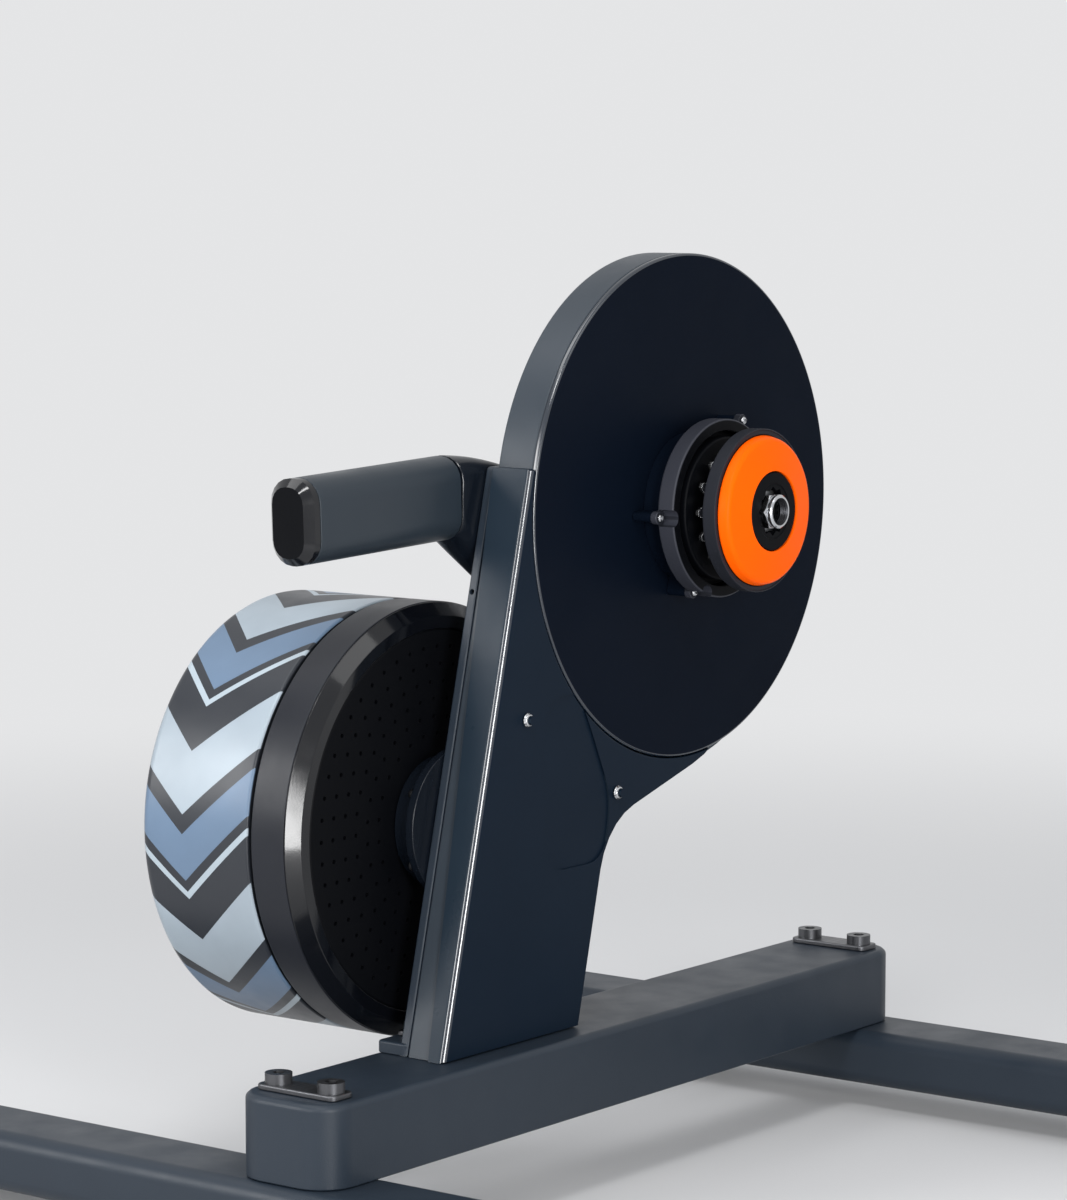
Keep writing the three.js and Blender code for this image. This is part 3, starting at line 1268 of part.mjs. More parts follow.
// The inner guard turns with the sprocket, inside the fixed guard ring.
const SPACER_RADIUS = 20.5;
function innerGuard() {
  const front = sprocketY + SPROCKET_THICKNESS / 2 + GAP;
  const wallFront = faceY - INNER_GUARD_STANDOFF - INNER_GUARD_DEPTH;
  let guard = rod(SPACER_RADIUS, front, wallFront + INNER_GUARD_DEPTH);
  guard = guard.add(rod(INNER_GUARD_RADIUS, wallFront, wallFront + INNER_GUARD_WALL, GUARD_STEPS));
  const rim = ring(
    INNER_GUARD_RADIUS,
    INNER_GUARD_RADIUS - INNER_GUARD_WALL,
    wallFront,
    wallFront + INNER_GUARD_DEPTH,
    GUARD_STEPS,
  );
  guard = guard.add(rim);
  return guard.subtract(splineBore(front, wallFront + INNER_GUARD_DEPTH));
}
upper.add(piece("inner_chain_guard", innerGuard(), "black_plastic"));

function outerGuard() {
  const back = outerGuardY;
  const front = outerGuardY - OUTER_GUARD_DEPTH;
  let guard = turned(
    [
      [0, sprocketY - SPROCKET_THICKNESS / 2 - GAP],
      [SPACER_RADIUS, sprocketY - SPROCKET_THICKNESS / 2 - GAP],
      [SPACER_RADIUS, back],
      [OUTER_GUARD_RADIUS, back],
      [OUTER_GUARD_RADIUS, front],
      [OUTER_GUARD_RADIUS - OUTER_GUARD_WALL, front],
      [OUTER_GUARD_RADIUS - OUTER_GUARD_WALL, back - OUTER_GUARD_WALL],
      [SPACER_RADIUS, back - OUTER_GUARD_WALL],
      [SPACER_RADIUS, freehubFrontY + GAP],
      [0, freehubFrontY + GAP],
    ],
    GUARD_STEPS,
  );
  return guard.subtract(splineBore(freehubFrontY, sprocketY));
}
upper.add(piece("outer_chain_guard", outerGuard(), "black_plastic"));

function orangeCap() {
  const shoulderY = capEdgeY - CAP_SHOULDER_DEPTH;
  const { inward, back } = CAP_TURN_SHARES;
  return turned(
    [
      [CAP_HOLE_RADIUS, capHoleY],
      [CAP_RADIUS - CAP_SHOULDER, shoulderY],
      [CAP_RADIUS - CAP_SHOULDER * inward, shoulderY + CAP_SHOULDER_DEPTH * back],
      [CAP_RADIUS, capEdgeY],
      [CAP_RADIUS - OUTER_GUARD_WALL, capEdgeY],
      [CAP_RADIUS - CAP_SHOULDER - CAP_WALL / 2, shoulderY + CAP_WALL],
      [CAP_HOLE_RADIUS + CAP_WALL, capHoleY + CAP_WALL],
      [CAP_HOLE_RADIUS + CAP_WALL, freehubFrontY],
      [CAP_HOLE_RADIUS, freehubFrontY],
    ],
    GUARD_STEPS,
  );
}
upper.add(piece("hub_cap", orangeCap(), "orange_plastic"));

function lockRing() {
  const star = new THREE.Shape();
  for (let i = 0; i < 2 * LOCK_TEETH; i++) {
    const angle = (i * Math.PI) / LOCK_TEETH;
    const reach = i % 2 ? LOCK_BORE_RADIUS : LOCK_BORE_RADIUS + LOCK_TOOTH_DEPTH;
    if (i === 0) star.moveTo(reach, 0);
    else star.lineTo(reach * Math.cos(angle), reach * Math.sin(angle));
  }
  star.closePath();
  const plug = rod(CAP_HOLE_RADIUS - GAP, lockFaceY, lockFaceY + LOCK_THICKNESS);
  return plug.subtract(prismY(star, lockFaceY - OVERRUN, lockFaceY + LOCK_THICKNESS + OVERRUN));
}
upper.add(piece("lock_ring", lockRing(), "black_plastic"));

// Guard ring: fixed to the housing's face on three lugs, round the inner guard
const lugPlaces = LUG_ANGLES.map((degrees, i) => {
  const angle = THREE.MathUtils.degToRad(degrees);
  return [LUG_REACHES[i] * Math.cos(angle), 0, LUG_REACHES[i] * Math.sin(angle)];
});
const ringBackY = faceY - GUARD_RING_STANDOFF;
const ringFrontY = ringBackY - GUARD_RING_DEPTH;
const lugSeatY = ringBackY - LUG_DEPTH;

// A lug reaches out of the ring's band to its screw, with a rounded end.
function lug(reach) {
  const inner = GUARD_RING_RADIUS - GUARD_RING_WALL / 2;
  const shape = new THREE.Shape();
  shape.moveTo(inner, -LUG_RADIUS);
  shape.absarc(reach, 0, LUG_RADIUS, -Math.PI / 2, Math.PI / 2, false);
  shape.lineTo(inner, LUG_RADIUS);
  shape.closePath();
  return prismY(shape, lugSeatY, faceY - GAP, COARSE_STEPS / 2);
}
function guardRing() {
  const bossInner = GUARD_BOSS_RADIUS - GUARD_BOSS_WALL;
  const plateY = ringBackY - GUARD_RING_PLATE;
  let guard = turned(
    [
      [bossInner, faceY - GAP],
      [GUARD_BOSS_RADIUS, faceY - GAP],
      [GUARD_BOSS_RADIUS, ringBackY],
      [GUARD_RING_RADIUS, ringBackY],
      [GUARD_RING_RADIUS, ringFrontY],
      [GUARD_RING_RADIUS - GUARD_RING_WALL, ringFrontY],
      [GUARD_RING_RADIUS - GUARD_RING_WALL, plateY],
      [bossInner, plateY],
    ],
    GUARD_STEPS,
  );
  for (const [i, place] of lugPlaces.entries()) {
    const notch = rod(LUG_NOTCH_RADIUS, ringFrontY - OVERRUN, lugSeatY, COARSE_STEPS);
    const bore = rod(LUG_SCREW_RADIUS + GAP, lugSeatY - OVERRUN, faceY + OVERRUN, COARSE_STEPS);
    guard = guard.add(lug(LUG_REACHES[i]).rotate([0, -LUG_ANGLES[i], 0]));
    guard = guard.subtract(notch.translate(place)).subtract(bore.translate(place));
  }
  return guard;
}
upper.add(piece("guard_ring", guardRing(), "black_plastic"));

// The disc cover has a turned-over edge and a hole for the hub.
const DISC_EDGE = 1.2;
function discCover() {
  const cover = turned(
    [
      [HUB_HOLE_RADIUS, faceY],
      [DISC_RADIUS - DISC_EDGE, faceY],
      [DISC_RADIUS, faceY + DISC_EDGE],
      [DISC_RADIUS, faceY + COVER_THICKNESS],
      [HUB_HOLE_RADIUS, faceY + COVER_THICKNESS],
    ],
    WHEEL_STEPS,
  );
  const bore = rod(LUG_SCREW_RADIUS + GAP, faceY - OVERRUN, rimY, COARSE_STEPS);
  return lugPlaces.reduce((solid, place) => solid.subtract(bore.translate(place)), cover);
}
upper.add(piece("disc_cover", discCover(), "disc_plastic"));

// The side cover fills the outline below the disc and folds back over the rear wall.
const BLISTER_RISE = 1.6;
const BLISTER_CORNER = 12;
// Corners of the raised panel, as shares of the disc's radius from its centre
const BLISTER_SHARES = [
  [-0.92, -0.7],
  [-0.72, -0.72],
  [-0.55, -1.12],
  [-0.62, -1.38],
  [-0.93, -1.38],
  [-1.02, -0.9],
];
function sideCover() {
  const reach = GAP + FLANGE_THICKNESS;
  const frontY = faceY + COVER_THICKNESS;
  let cover = prismY(neckOutline(0, reach), faceY, frontY);
  const { top, heel } = neckCorners(0, reach);
  const inner = neckCorners(0, GAP);
  const flangeShape = outline([
    [top, 0],
    [heel, 0],
    [inner.heel, 0],
    [inner.top, 0],
  ]);
  let flange = prismY(flangeShape, faceY, faceY + FLANGE_TOP_DEPTH);
  const taper = new THREE.Shape();
  taper.moveTo(faceY + FLANGE_TOP_DEPTH, SPINE_TOP);
  taper.lineTo(faceY + FLANGE_FOOT_DEPTH, neckBottom);
  taper.lineTo(faceY + neckHeight, neckBottom);
  taper.lineTo(faceY + neckHeight, SPINE_TOP);
  taper.closePath();
  flange = flange.subtract(prismX(taper, heel.x - OVERRUN, 0));
  cover = cover.add(flange);
  cover = cover.subtract(rod(DISC_RADIUS + COVER_SEAM, faceY - OVERRUN, frontY, WHEEL_STEPS));
  const blister = outline(
    BLISTER_SHARES.map(([x, z]) => [
      new THREE.Vector2(x, z).multiplyScalar(DISC_RADIUS),
      BLISTER_CORNER,
    ]),
  );
  cover = cover.add(prismY(blister, faceY - BLISTER_RISE, frontY - COVER_THICKNESS / 2));
  for (const { x, y } of Object.values(coverScrews)) {
    const hole = rod(COVER_SCREW_RADIUS + GAP, faceY - OVERRUN, frontY + OVERRUN, COARSE_STEPS);
    cover = cover.subtract(hole.translate([x, 0, y]));
  }
  return cover;
}
upper.add(piece("side_cover", sideCover(), "case_plastic"));

function coverScrew() {
  const under = faceY - GAP;
  const head = under - COVER_SCREW_HEAD_HEIGHT;
  const dome = COVER_SCREW_HEAD_HEIGHT / 2;
  const screw = turned(
    [
      [0, head],
      [COVER_SCREW_HEAD_RADIUS - dome, head],
      [COVER_SCREW_HEAD_RADIUS, head + dome],
      [COVER_SCREW_HEAD_RADIUS, under],
      [COVER_SCREW_RADIUS, under],
      [COVER_SCREW_RADIUS, faceY + COVER_SCREW_LENGTH],
      [0, faceY + COVER_SCREW_LENGTH],
    ],
    COARSE_STEPS,
  );
  return screw.subtract(
    rod(COVER_SCREW_SOCKET_RADIUS, head - OVERRUN, head + COVER_SCREW_SOCKET_DEPTH, HEX_SIDES),
  );
}
for (const [name, { x, y }] of Object.entries(coverScrews)) {
  const screw = piece(`side_screw_${name}`, coverScrew(), "bright_steel");
  screw.position.set(x, 0, y);
  upper.add(screw);
}

function lugScrew() {
  const seat = lugSeatY - GAP;
  const head = seat - LUG_SCREW_HEAD_HEIGHT;
  const screw = turned(
    [
      [0, head],
      [LUG_SCREW_HEAD_RADIUS, head],
      [LUG_SCREW_HEAD_RADIUS, seat],
      [LUG_SCREW_RADIUS, seat],
      [LUG_SCREW_RADIUS, faceY + COVER_THICKNESS],
      [0, faceY + COVER_THICKNESS],
    ],
    COARSE_STEPS,
  );
  const socketDepth = LUG_SCREW_HEAD_HEIGHT / 2;
  return screw.subtract(rod(LUG_SCREW_RADIUS, head - OVERRUN, head + socketDepth, HEX_SIDES));
}
for (const [i, place] of lugPlaces.entries()) {
  const screw = piece(`guard_screw_${i + 1}`, lugScrew(), "bright_steel");
  screw.position.set(...place);
  upper.add(screw);
}

// A rounded bar along -X from the origin, between two distances.
function bar(width, height, corner, from, to) {
  return prismZ(roundedBox(0, 0, width, height, corner), from, to).rotate([90, 0, -90]);
}

const handle = new THREE.Group();
handle.position.set(gripStartX, handleY, HANDLE_RAISE);
handle.rotation.y = -THREE.MathUtils.degToRad(HANDLE_DROOP);
upper.add(handle);

function gripSleeve() {
  const sleeve = bar(HANDLE_WIDTH, HANDLE_HEIGHT, HANDLE_CORNER, 0, GRIP_LENGTH);
  const hollow = 2 * GRIP_WALL;
  return sleeve.subtract(
    bar(
      HANDLE_WIDTH - hollow,
      HANDLE_HEIGHT - hollow,
      HANDLE_CORNER - GRIP_WALL,
      -OVERRUN,
      GRIP_LENGTH + OVERRUN,
    ),
  );
}
handle.add(piece("handle_grip", gripSleeve(), "grip_grey"));

const tongueMargin = 2 * (GRIP_WALL + GAP);
const tongue = [
  HANDLE_WIDTH - tongueMargin,
  HANDLE_HEIGHT - tongueMargin,
  HANDLE_CORNER - GRIP_WALL - GAP,
];
function gripCap() {
  const start = GRIP_LENGTH + GAP;
  const chamfer = 2 * GRIP_CAP_CHAMFER;
  const step = GRIP_CAP_LENGTH - GRIP_CAP_CHAMFER;
  let cap = bar(HANDLE_WIDTH, HANDLE_HEIGHT, HANDLE_CORNER, start, start + step);
  const face = [HANDLE_WIDTH - chamfer, HANDLE_HEIGHT - chamfer, HANDLE_CORNER - GRIP_CAP_CHAMFER];
  cap = cap.add(bar(...face, start, start + GRIP_CAP_LENGTH));
  return cap.add(bar(...tongue, GRIP_LENGTH - GRIP_CAP_TONGUE, start + step));
}
handle.add(piece("handle_end_cap", gripCap(), "gloss_plastic"));

function handleBracket() {
  const rear = gripStartX + gripLean + GAP;
  const padBack = frameBackY + GAP + BRACKET_PAD;
  const top = handleTop + BRACKET_TOP_RISE;
  const padShape = outline([
    [new THREE.Vector2(rear, top), BRACKET_CORNER],
    [new THREE.Vector2(rear, handleBottom - BRACKET_TOP_RISE), BRACKET_CORNER],
    [new THREE.Vector2(rear + BRACKET_GUSSET / 2, handleBottom - BRACKET_GUSSET), BRACKET_CORNER],
    [new THREE.Vector2(bracketFrontX, handleBottom - BRACKET_GUSSET), BRACKET_CORNER],
    [new THREE.Vector2(bracketFrontX, top - BRACKET_TOP_FALL), BRACKET_CORNER],
  ]);
  let bracket = prismY(padShape, frameBackY + GAP, padBack);
  const armShape = outline([
    [new THREE.Vector2(rear, top), BRACKET_CORNER],
    [new THREE.Vector2(rear, handleBottom - BRACKET_TOP_RISE), BRACKET_CORNER],
    [new THREE.Vector2(bracketFrontX - BRACKET_GUSSET, handleBottom), BRACKET_CORNER],
    [new THREE.Vector2(bracketFrontX - BRACKET_GUSSET, top - BRACKET_TOP_FALL / 2), BRACKET_CORNER],
  ]);
  bracket = bracket.add(prismY(armShape, frameBackY + GAP, handleY + HANDLE_WIDTH / 2));
  const plug = bar(...tongue, -HANDLE_CORNER, TONGUE_LENGTH)
    .rotate([0, -HANDLE_DROOP, 0])
    .translate([gripStartX, handleY, HANDLE_RAISE]);
  bracket = bracket.add(plug);
  for (const { x, z } of Object.values(bracketBolts)) {
    const bore = rod(BRACKET_BOLT_RADIUS + GAP, frameBackY - OVERRUN, padBack + OVERRUN, COARSE_STEPS);
    bracket = bracket.subtract(bore.translate([x, 0, z]));
  }
  return bracket;
}
upper.add(piece("handle_bracket", handleBracket(), "frame_paint"));

function bracketBolt() {
  const seat = frameBackY + GAP + BRACKET_PAD + GAP;
  const head = seat + BRACKET_BOLT_HEAD_HEIGHT;
  const bolt = turned(
    [
      [0, plateFront],
      [BRACKET_BOLT_RADIUS, plateFront],
      [BRACKET_BOLT_RADIUS, seat],
      [BRACKET_BOLT_HEAD_RADIUS, seat],
      [BRACKET_BOLT_HEAD_RADIUS, head],
      [0, head],
    ],
    COARSE_STEPS,
  );
  const socketStart = head - BRACKET_BOLT_HEAD_HEIGHT / 2;
  return bolt.subtract(rod(BRACKET_BOLT_RADIUS, socketStart, head + OVERRUN, HEX_SIDES));
}
for (const [name, { x, z }] of Object.entries(bracketBolts)) {
  const bolt = piece(`bracket_bolt_${name}`, bracketBolt(), "dark_steel");
  bolt.position.set(x, 0, z);
  upper.add(bolt);
}

export default trainer;
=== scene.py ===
"""How a direct drive bike trainer looks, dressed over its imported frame.

Everything is in metres, in the frame's own axes: +X the way the bike faces, +Y its left, +Z up.
"""

import math

import bmesh
import bpy
from mathutils import Matrix, Vector


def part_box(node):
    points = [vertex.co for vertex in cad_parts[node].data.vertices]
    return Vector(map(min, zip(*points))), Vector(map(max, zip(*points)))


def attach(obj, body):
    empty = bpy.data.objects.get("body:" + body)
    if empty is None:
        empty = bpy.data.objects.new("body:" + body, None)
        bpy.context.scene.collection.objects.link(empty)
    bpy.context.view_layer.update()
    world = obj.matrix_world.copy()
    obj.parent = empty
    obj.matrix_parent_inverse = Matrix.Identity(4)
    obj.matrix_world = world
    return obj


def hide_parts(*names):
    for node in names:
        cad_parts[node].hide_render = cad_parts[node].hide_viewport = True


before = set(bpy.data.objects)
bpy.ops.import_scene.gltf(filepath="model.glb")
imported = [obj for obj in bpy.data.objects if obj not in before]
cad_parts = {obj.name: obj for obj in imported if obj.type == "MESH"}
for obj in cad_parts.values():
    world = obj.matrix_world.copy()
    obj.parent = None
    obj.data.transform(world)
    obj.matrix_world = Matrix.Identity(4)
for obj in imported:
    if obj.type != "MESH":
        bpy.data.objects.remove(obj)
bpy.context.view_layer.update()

# Shared sizes: fineness, clearances, and how far the edges are rounded
ROUND_STEPS = 48
CORNER_STEPS = 5
SMOOTH_ANGLE = math.radians(32)
OVERRUN = 0.002
SEAM = 0.0003
CRISP = 0.0003
EASED = 0.0004
SOFT = 0.0006
ROUNDED = 0.0008
FULL = 0.0012
ORIGIN = (0, 0, 0)

# Sizes and places read from the frame


def middle(node):
    low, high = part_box(node)
    return (low + high) / 2


def radius_of(node):
    low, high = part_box(node)
    return (high.x - low.x) / 2


def axis_of(node):
    """Where a line along Y through a node's middle crosses the plane y = 0."""
    centre = middle(node)
    return (centre.x, 0, centre.z)


AXLE = middle("disc_cover")
SHAFT = middle("flywheel")
AT_AXLE = axis_of("disc_cover")
AT_SHAFT = axis_of("flywheel")
DISC_RADIUS = radius_of("disc_cover")
FLYWHEEL_RADIUS = radius_of("flywheel")
FACE_Y, FACE_BACK_Y = (corner.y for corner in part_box("disc_cover"))
RIM_Y, HOUSING_BACK_Y = (corner.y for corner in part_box("belt_housing"))
PLATE_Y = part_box("frame_plate")[0].y
PLATE_BACK_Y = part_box("bearing_carrier")[0].y - SEAM
NECK_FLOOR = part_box("belt_housing")[0].z
AXLE_BORE = 0.0088
SHAFT_HOLE = 0.011

# Geometry in flat outlines of (across, up) points


def polar(reach, degrees):
    angle = math.radians(degrees)
    return (reach * math.cos(angle), reach * math.sin(angle))


def arc(centre, radius, start, end, steps):
    """Points on an arc, angles in degrees."""
    points = []
    for i in range(steps + 1):
        across, up = polar(radius, start + (end - start) * i / steps)
        points.append((centre[0] + across, centre[1] + up))
    return points


def circle(centre, radius, steps):
    return arc(centre, radius, 0, 360 * (steps - 1) / steps, steps - 1)


def fillet(points, closed=True):
    """Rounds the corners of a polyline whose points are (across, up) or (across, up, radius)."""
    rounded = []
    count = len(points)
    for i, point in enumerate(points):
        here = Vector(point[:2])
        radius = point[2] if len(point) > 2 else 0
        if radius <= 0 or (not closed and i in (0, count - 1)):
            rounded.append(tuple(here))
            continue
        last = Vector(points[i - 1][:2]) - here
        following = Vector(points[(i + 1) % count][:2]) - here
        to_last, to_next = last.normalized(), following.normalized()
        half = to_last.angle(to_next) / 2
        reach = min(radius / math.tan(half), min(last.length, following.length) * 0.495)
        radius = reach * math.tan(half)
        centre = here + (to_last + to_next).normalized() * radius / math.sin(half)
        start = here + to_last * reach - centre
        sweep = start.angle_signed(here + to_next * reach - centre)
        for step in range(CORNER_STEPS + 1):
            turn = Matrix.Rotation(-sweep * step / CORNER_STEPS, 2)
            rounded.append(tuple(centre + turn @ start))
    return rounded


def inset(points, distance):
    """A closed outline moved inwards. The outline runs anticlockwise."""
    moved = []
    sharpest = 0.3
    for i, point in enumerate(points):
        here = Vector(point)
        last = (here - Vector(points[i - 1])).normalized()
        following = (Vector(points[(i + 1) % len(points)]) - here).normalized()
        normal = Vector((-last.y - following.y, last.x + following.x))
        if normal.length < 1e-9:
            moved.append(tuple(here))
            continue
        normal.normalize()
        stretch = max(normal.dot(Vector((-last.y, last.x))), sharpest)
        moved.append(tuple(here + normal * distance / stretch))
    return moved


def anticlockwise(points):
    twice_area = 0
    for i, (x, z) in enumerate(points):
        last_x, last_z = points[i - 1]
        twice_area += last_x * z - x * last_z
    return points if twice_area > 0 else points[::-1]


def rounded_rectangle(centre, width, height, radius):
    (a, b), w, h = centre, width / 2, height / 2
    corners = [(a - w, b - h), (a + w, b - h), (a + w, b + h), (a - w, b + h)]
    return fillet([(*corner, radius) for corner in corners])


def hexagon(radius, centre=(0, 0)):
    return circle(centre, radius, 6)


def rotated(points, degrees):
    turn = Matrix.Rotation(math.radians(degrees), 2)
    return [tuple(turn @ Vector(point)) for point in points]


def from_axle(points):
    return [(AXLE.x + a, AXLE.z + b) for a, b in points]


def places_round(centre, reach, count, first):
    """Places on a circle about a line along Y, the first at an angle in degrees."""
    places = []
    for i in range(count):
        across, up = polar(reach, first + 360 * i / count)
        places.append((centre[0] + across, 0, centre[2] + up))
    return places


# Mesh making


def new_object(name, bm):
    bmesh.ops.remove_doubles(bm, verts=bm.verts, dist=1e-6)
    bmesh.ops.recalc_face_normals(bm, faces=bm.faces)
    mesh = bpy.data.meshes.new(name)
    bm.to_mesh(mesh)
    bm.free()
    obj = bpy.data.objects.new(name, mesh)
    bpy.context.scene.collection.objects.link(obj)
    return obj


def bridge(bm, lower, upper):
    """Faces between two rings of vertices, without the corners that they share."""
    for i in range(len(lower)):
        j = (i + 1) % len(lower)
        corners = list(dict.fromkeys((lower[i], lower[j], upper[j], upper[i])))
        if len(corners) > 2:
            bm.faces.new(corners)


def lathe(name, profile, centre=ORIGIN, steps=ROUND_STEPS, closed=True):
    """Turns (radius, y) points about a line along Y through the centre.

    A closed profile makes a ring. An open one starts and ends on the axis.
    """
    bm = bmesh.new()
    rings = []
    for radius, y in profile:
        if radius <= 1e-7:
            rings.append([bm.verts.new((centre[0], centre[1] + y, centre[2]))] * steps)
            continue
        ring = []
        for i in range(steps):
            across, up = polar(radius, 360 * i / steps)
            ring.append(bm.verts.new((centre[0] + across, centre[1] + y, centre[2] + up)))
        rings.append(ring)
    following = rings[1:] + rings[:1] if closed else rings[1:]
    for lower, upper in zip(rings, following):
        bridge(bm, lower, upper)
    return new_object(name, bm)


def turned_ring(name, profile, centre, steps=ROUND_STEPS):
    """A ring whose profile points are (radius, y, round of the corner)."""
    return lathe(name, fillet(profile), centre, steps)


def spindle(name, profile, centre=ORIGIN, steps=ROUND_STEPS):
    """A turned solid whose profile starts and ends on its axis."""
    return lathe(name, profile, centre, steps, closed=False)


def rod(name, radius, start, end, centre=ORIGIN, steps=ROUND_STEPS):
    return spindle(name, [(0, start), (radius, start), (radius, end), (0, end)], centre, steps)


def along_y(across, up, height):
    return (across, height, up)


def along_z(across, up, height):
    return (across, up, height)


def along_x(across, up, height):
    return (height, across, up)


def loft(name, sections, place=along_y):
    """A solid through outlines with the same count of points: sections are (height, outline).

    place turns (across, up, height) into a point.
    """
    bm = bmesh.new()
    rings = []
    for height, outline in sections:
        rings.append([bm.verts.new(place(a, b, height)) for a, b in outline])
    for lower, upper in zip(rings, rings[1:]):
        bridge(bm, lower, upper)
    bm.faces.new(rings[0][::-1])
    bm.faces.new(rings[-1])
    return new_object(name, bm)


def layers(name, outline, levels, place=along_y):
    """A solid whose outline is inset by a distance at each height: levels are (height, inset)."""
    outline = anticlockwise(outline)
    sections = [(height, inset(outline, drop) if drop else outline) for height, drop in levels]
    return loft(name, sections, place)


def edge_levels(start, end, first_round, last_round):
    """Heights and insets of a slab with rounded edges at its two faces."""
    first, last = [], []
    for i in range(CORNER_STEPS + 1):
        angle = math.pi / 2 * i / CORNER_STEPS
        away, along = 1 - math.cos(angle), 1 - math.sin(angle)
        if first_round or i == CORNER_STEPS:
            first.append((start + first_round * away, first_round * along))
        if last_round or i == 0:
            last.append((end - last_round * along, last_round * away))
    return first + last


def slab(name, outline, start, end, first_round=0.0, last_round=0.0, place=along_y):
    return layers(name, outline, edge_levels(start, end, first_round, last_round), place)


def apply_modifiers(obj):
    bpy.context.view_layer.update()
    graph = bpy.context.evaluated_depsgraph_get()
    made = bpy.data.meshes.new_from_object(obj.evaluated_get(graph))
    old = obj.data
    obj.modifiers.clear()
    obj.data = made
    bpy.data.meshes.remove(old)


def combine(obj, other, operation):
    """Joins or cuts obj with the other object, which is used up."""
    modifier = obj.modifiers.new(operation, "BOOLEAN")
    modifier.operation = operation
    modifier.solver = "EXACT"
    modifier.use_self = False
    modifier.object = other
    apply_modifiers(obj)
    bpy.data.objects.remove(other)
    return obj


def cut(obj, other):
    return combine(obj, other, "DIFFERENCE")


def weld(obj, other):
    return combine(obj, other, "UNION")


def gather(name, objects):
    """One object that holds the meshes of several, which are used up."""
    bm = bmesh.new()
    for obj in objects:
        bm.from_mesh(obj.data)
        bpy.data.objects.remove(obj)
    return new_object(name, bm)


def drill(obj, holes, start, end, steps=ROUND_STEPS):
    """Cuts round holes along Y in one go: holes are (place, radius)."""
    cut(obj, gather("holes", [rod("hole", radius, start, end, place, steps) for place, radius in holes]))


def move(obj, matrix):
    obj.data.transform(matrix)
    return obj


def stand(obj, x, y):
    """Turns a piece made along Y upright, at a place on the floor plan."""
    return move(obj, Matrix.Translation((x, y, 0)) @ Matrix.Rotation(math.pi / 2, 4, "X"))


def dress(obj, body, slot, material, *nodes):
    """Shades a piece, gives it its material and sets it on its body in place of CAD nodes."""
    bm = bmesh.new()
    bm.from_mesh(obj.data)
    bmesh.ops.recalc_face_normals(bm, faces=bm.faces)
    bm.to_mesh(obj.data)
    bm.free()
    obj.data.shade_smooth()
    obj.data.set_sharp_from_angle(angle=SMOOTH_ANGLE)
    weighted = obj.modifiers.new("normals", "WEIGHTED_NORMAL")
    weighted.keep_sharp = True
    weighted.weight = 80
    apply_modifiers(obj)
    obj.data.materials.clear()
    obj.data.materials.append(material)
    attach(obj, body)
    if nodes:
        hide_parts(*nodes)


def recolour(obj, *choices):
    """Gives faces another material: choices are (material, test of a face's middle and normal)."""
    for index, (material, accepts) in enumerate(choices, 1):
        obj.data.materials.append(material)
        for face in obj.data.polygons:
            if accepts(face.center, face.normal):
                face.material_index = index


def outwards(point, centre):
    """The distance of a point from a line along Y, and the direction away from that line."""
    away = Vector((point.x - centre[0], 0, point.z - centre[2]))
    return away.length, away.normalized()


# Materials

NOISE_RANGE = (0.3, 0.7)  # where a noise's values mostly lie


def shader(name, color, roughness, metallic=0.0, shine=0.5):
    """A new material with its node tree and its main shader."""
    material = bpy.data.materials.new(name)
    material.use_nodes = True
    tree = material.node_tree
    main = tree.nodes["Principled BSDF"]
    main.inputs["Base Color"].default_value = (*color, 1)
    main.inputs["Roughness"].default_value = roughness
    main.inputs["Metallic"].default_value = metallic
    main.inputs["Specular IOR Level"].default_value = shine
    return material, tree, main


def node(tree, kind, **settings):
    made = tree.nodes.new(kind)
    for key, value in settings.items():
        setattr(made, key, value)
    return made


def coordinates(tree):
    return node(tree, "ShaderNodeTexCoord").outputs["Object"]


def noise(tree, scale, detail=4.0, vector=None):
    made = node(tree, "ShaderNodeTexNoise")
    made.inputs["Scale"].default_value = scale
    made.inputs["Detail"].default_value = detail
    tree.links.new(vector or coordinates(tree), made.inputs["Vector"])
    return made.outputs["Fac"]


def ramp(tree, value, low, high, start, end):
    """A number stretched from start..end to low..high."""
    made = node(tree, "ShaderNodeMapRange")
    for socket, bound in (("From Min", start), ("From Max", end), ("To Min", low), ("To Max", high)):
        made.inputs[socket].default_value = bound
    tree.links.new(value, made.inputs["Value"])
    return made.outputs["Result"]


def calculate(tree, operation, *values):
    """A math node on numbers or sockets."""
    made = node(tree, "ShaderNodeMath", operation=operation)
    for value, socket in zip(values, made.inputs):
        if isinstance(value, (int, float)):
            socket.default_value = value
        else:
            tree.links.new(value, socket)
    return made.outputs[0]


def blend_colors(tree, factor, first, second):
    made = node(tree, "ShaderNodeMix", data_type="RGBA")
    for value, socket in ((first, made.inputs[6]), (second, made.inputs[7])):
        if isinstance(value, tuple):
            socket.default_value = (*value, 1)
        else:
            tree.links.new(value, socket)
    tree.links.new(factor, made.inputs[0])
    return made.outputs[2]


def uneven_gloss(tree, main, pattern, low, high):
    tree.links.new(ramp(tree, pattern, low, high, *NOISE_RANGE), main.inputs["Roughness"])


def bump(tree, main, height, strength, distance):
    made = node(tree, "ShaderNodeBump")
    made.inputs["Strength"].default_value = strength
    made.inputs["Distance"].default_value = distance
    tree.links.new(height, made.inputs["Height"])
    tree.links.new(made.outputs["Normal"], main.inputs["Normal"])


def shade(color, factor):
    return tuple(channel * factor for channel in color)


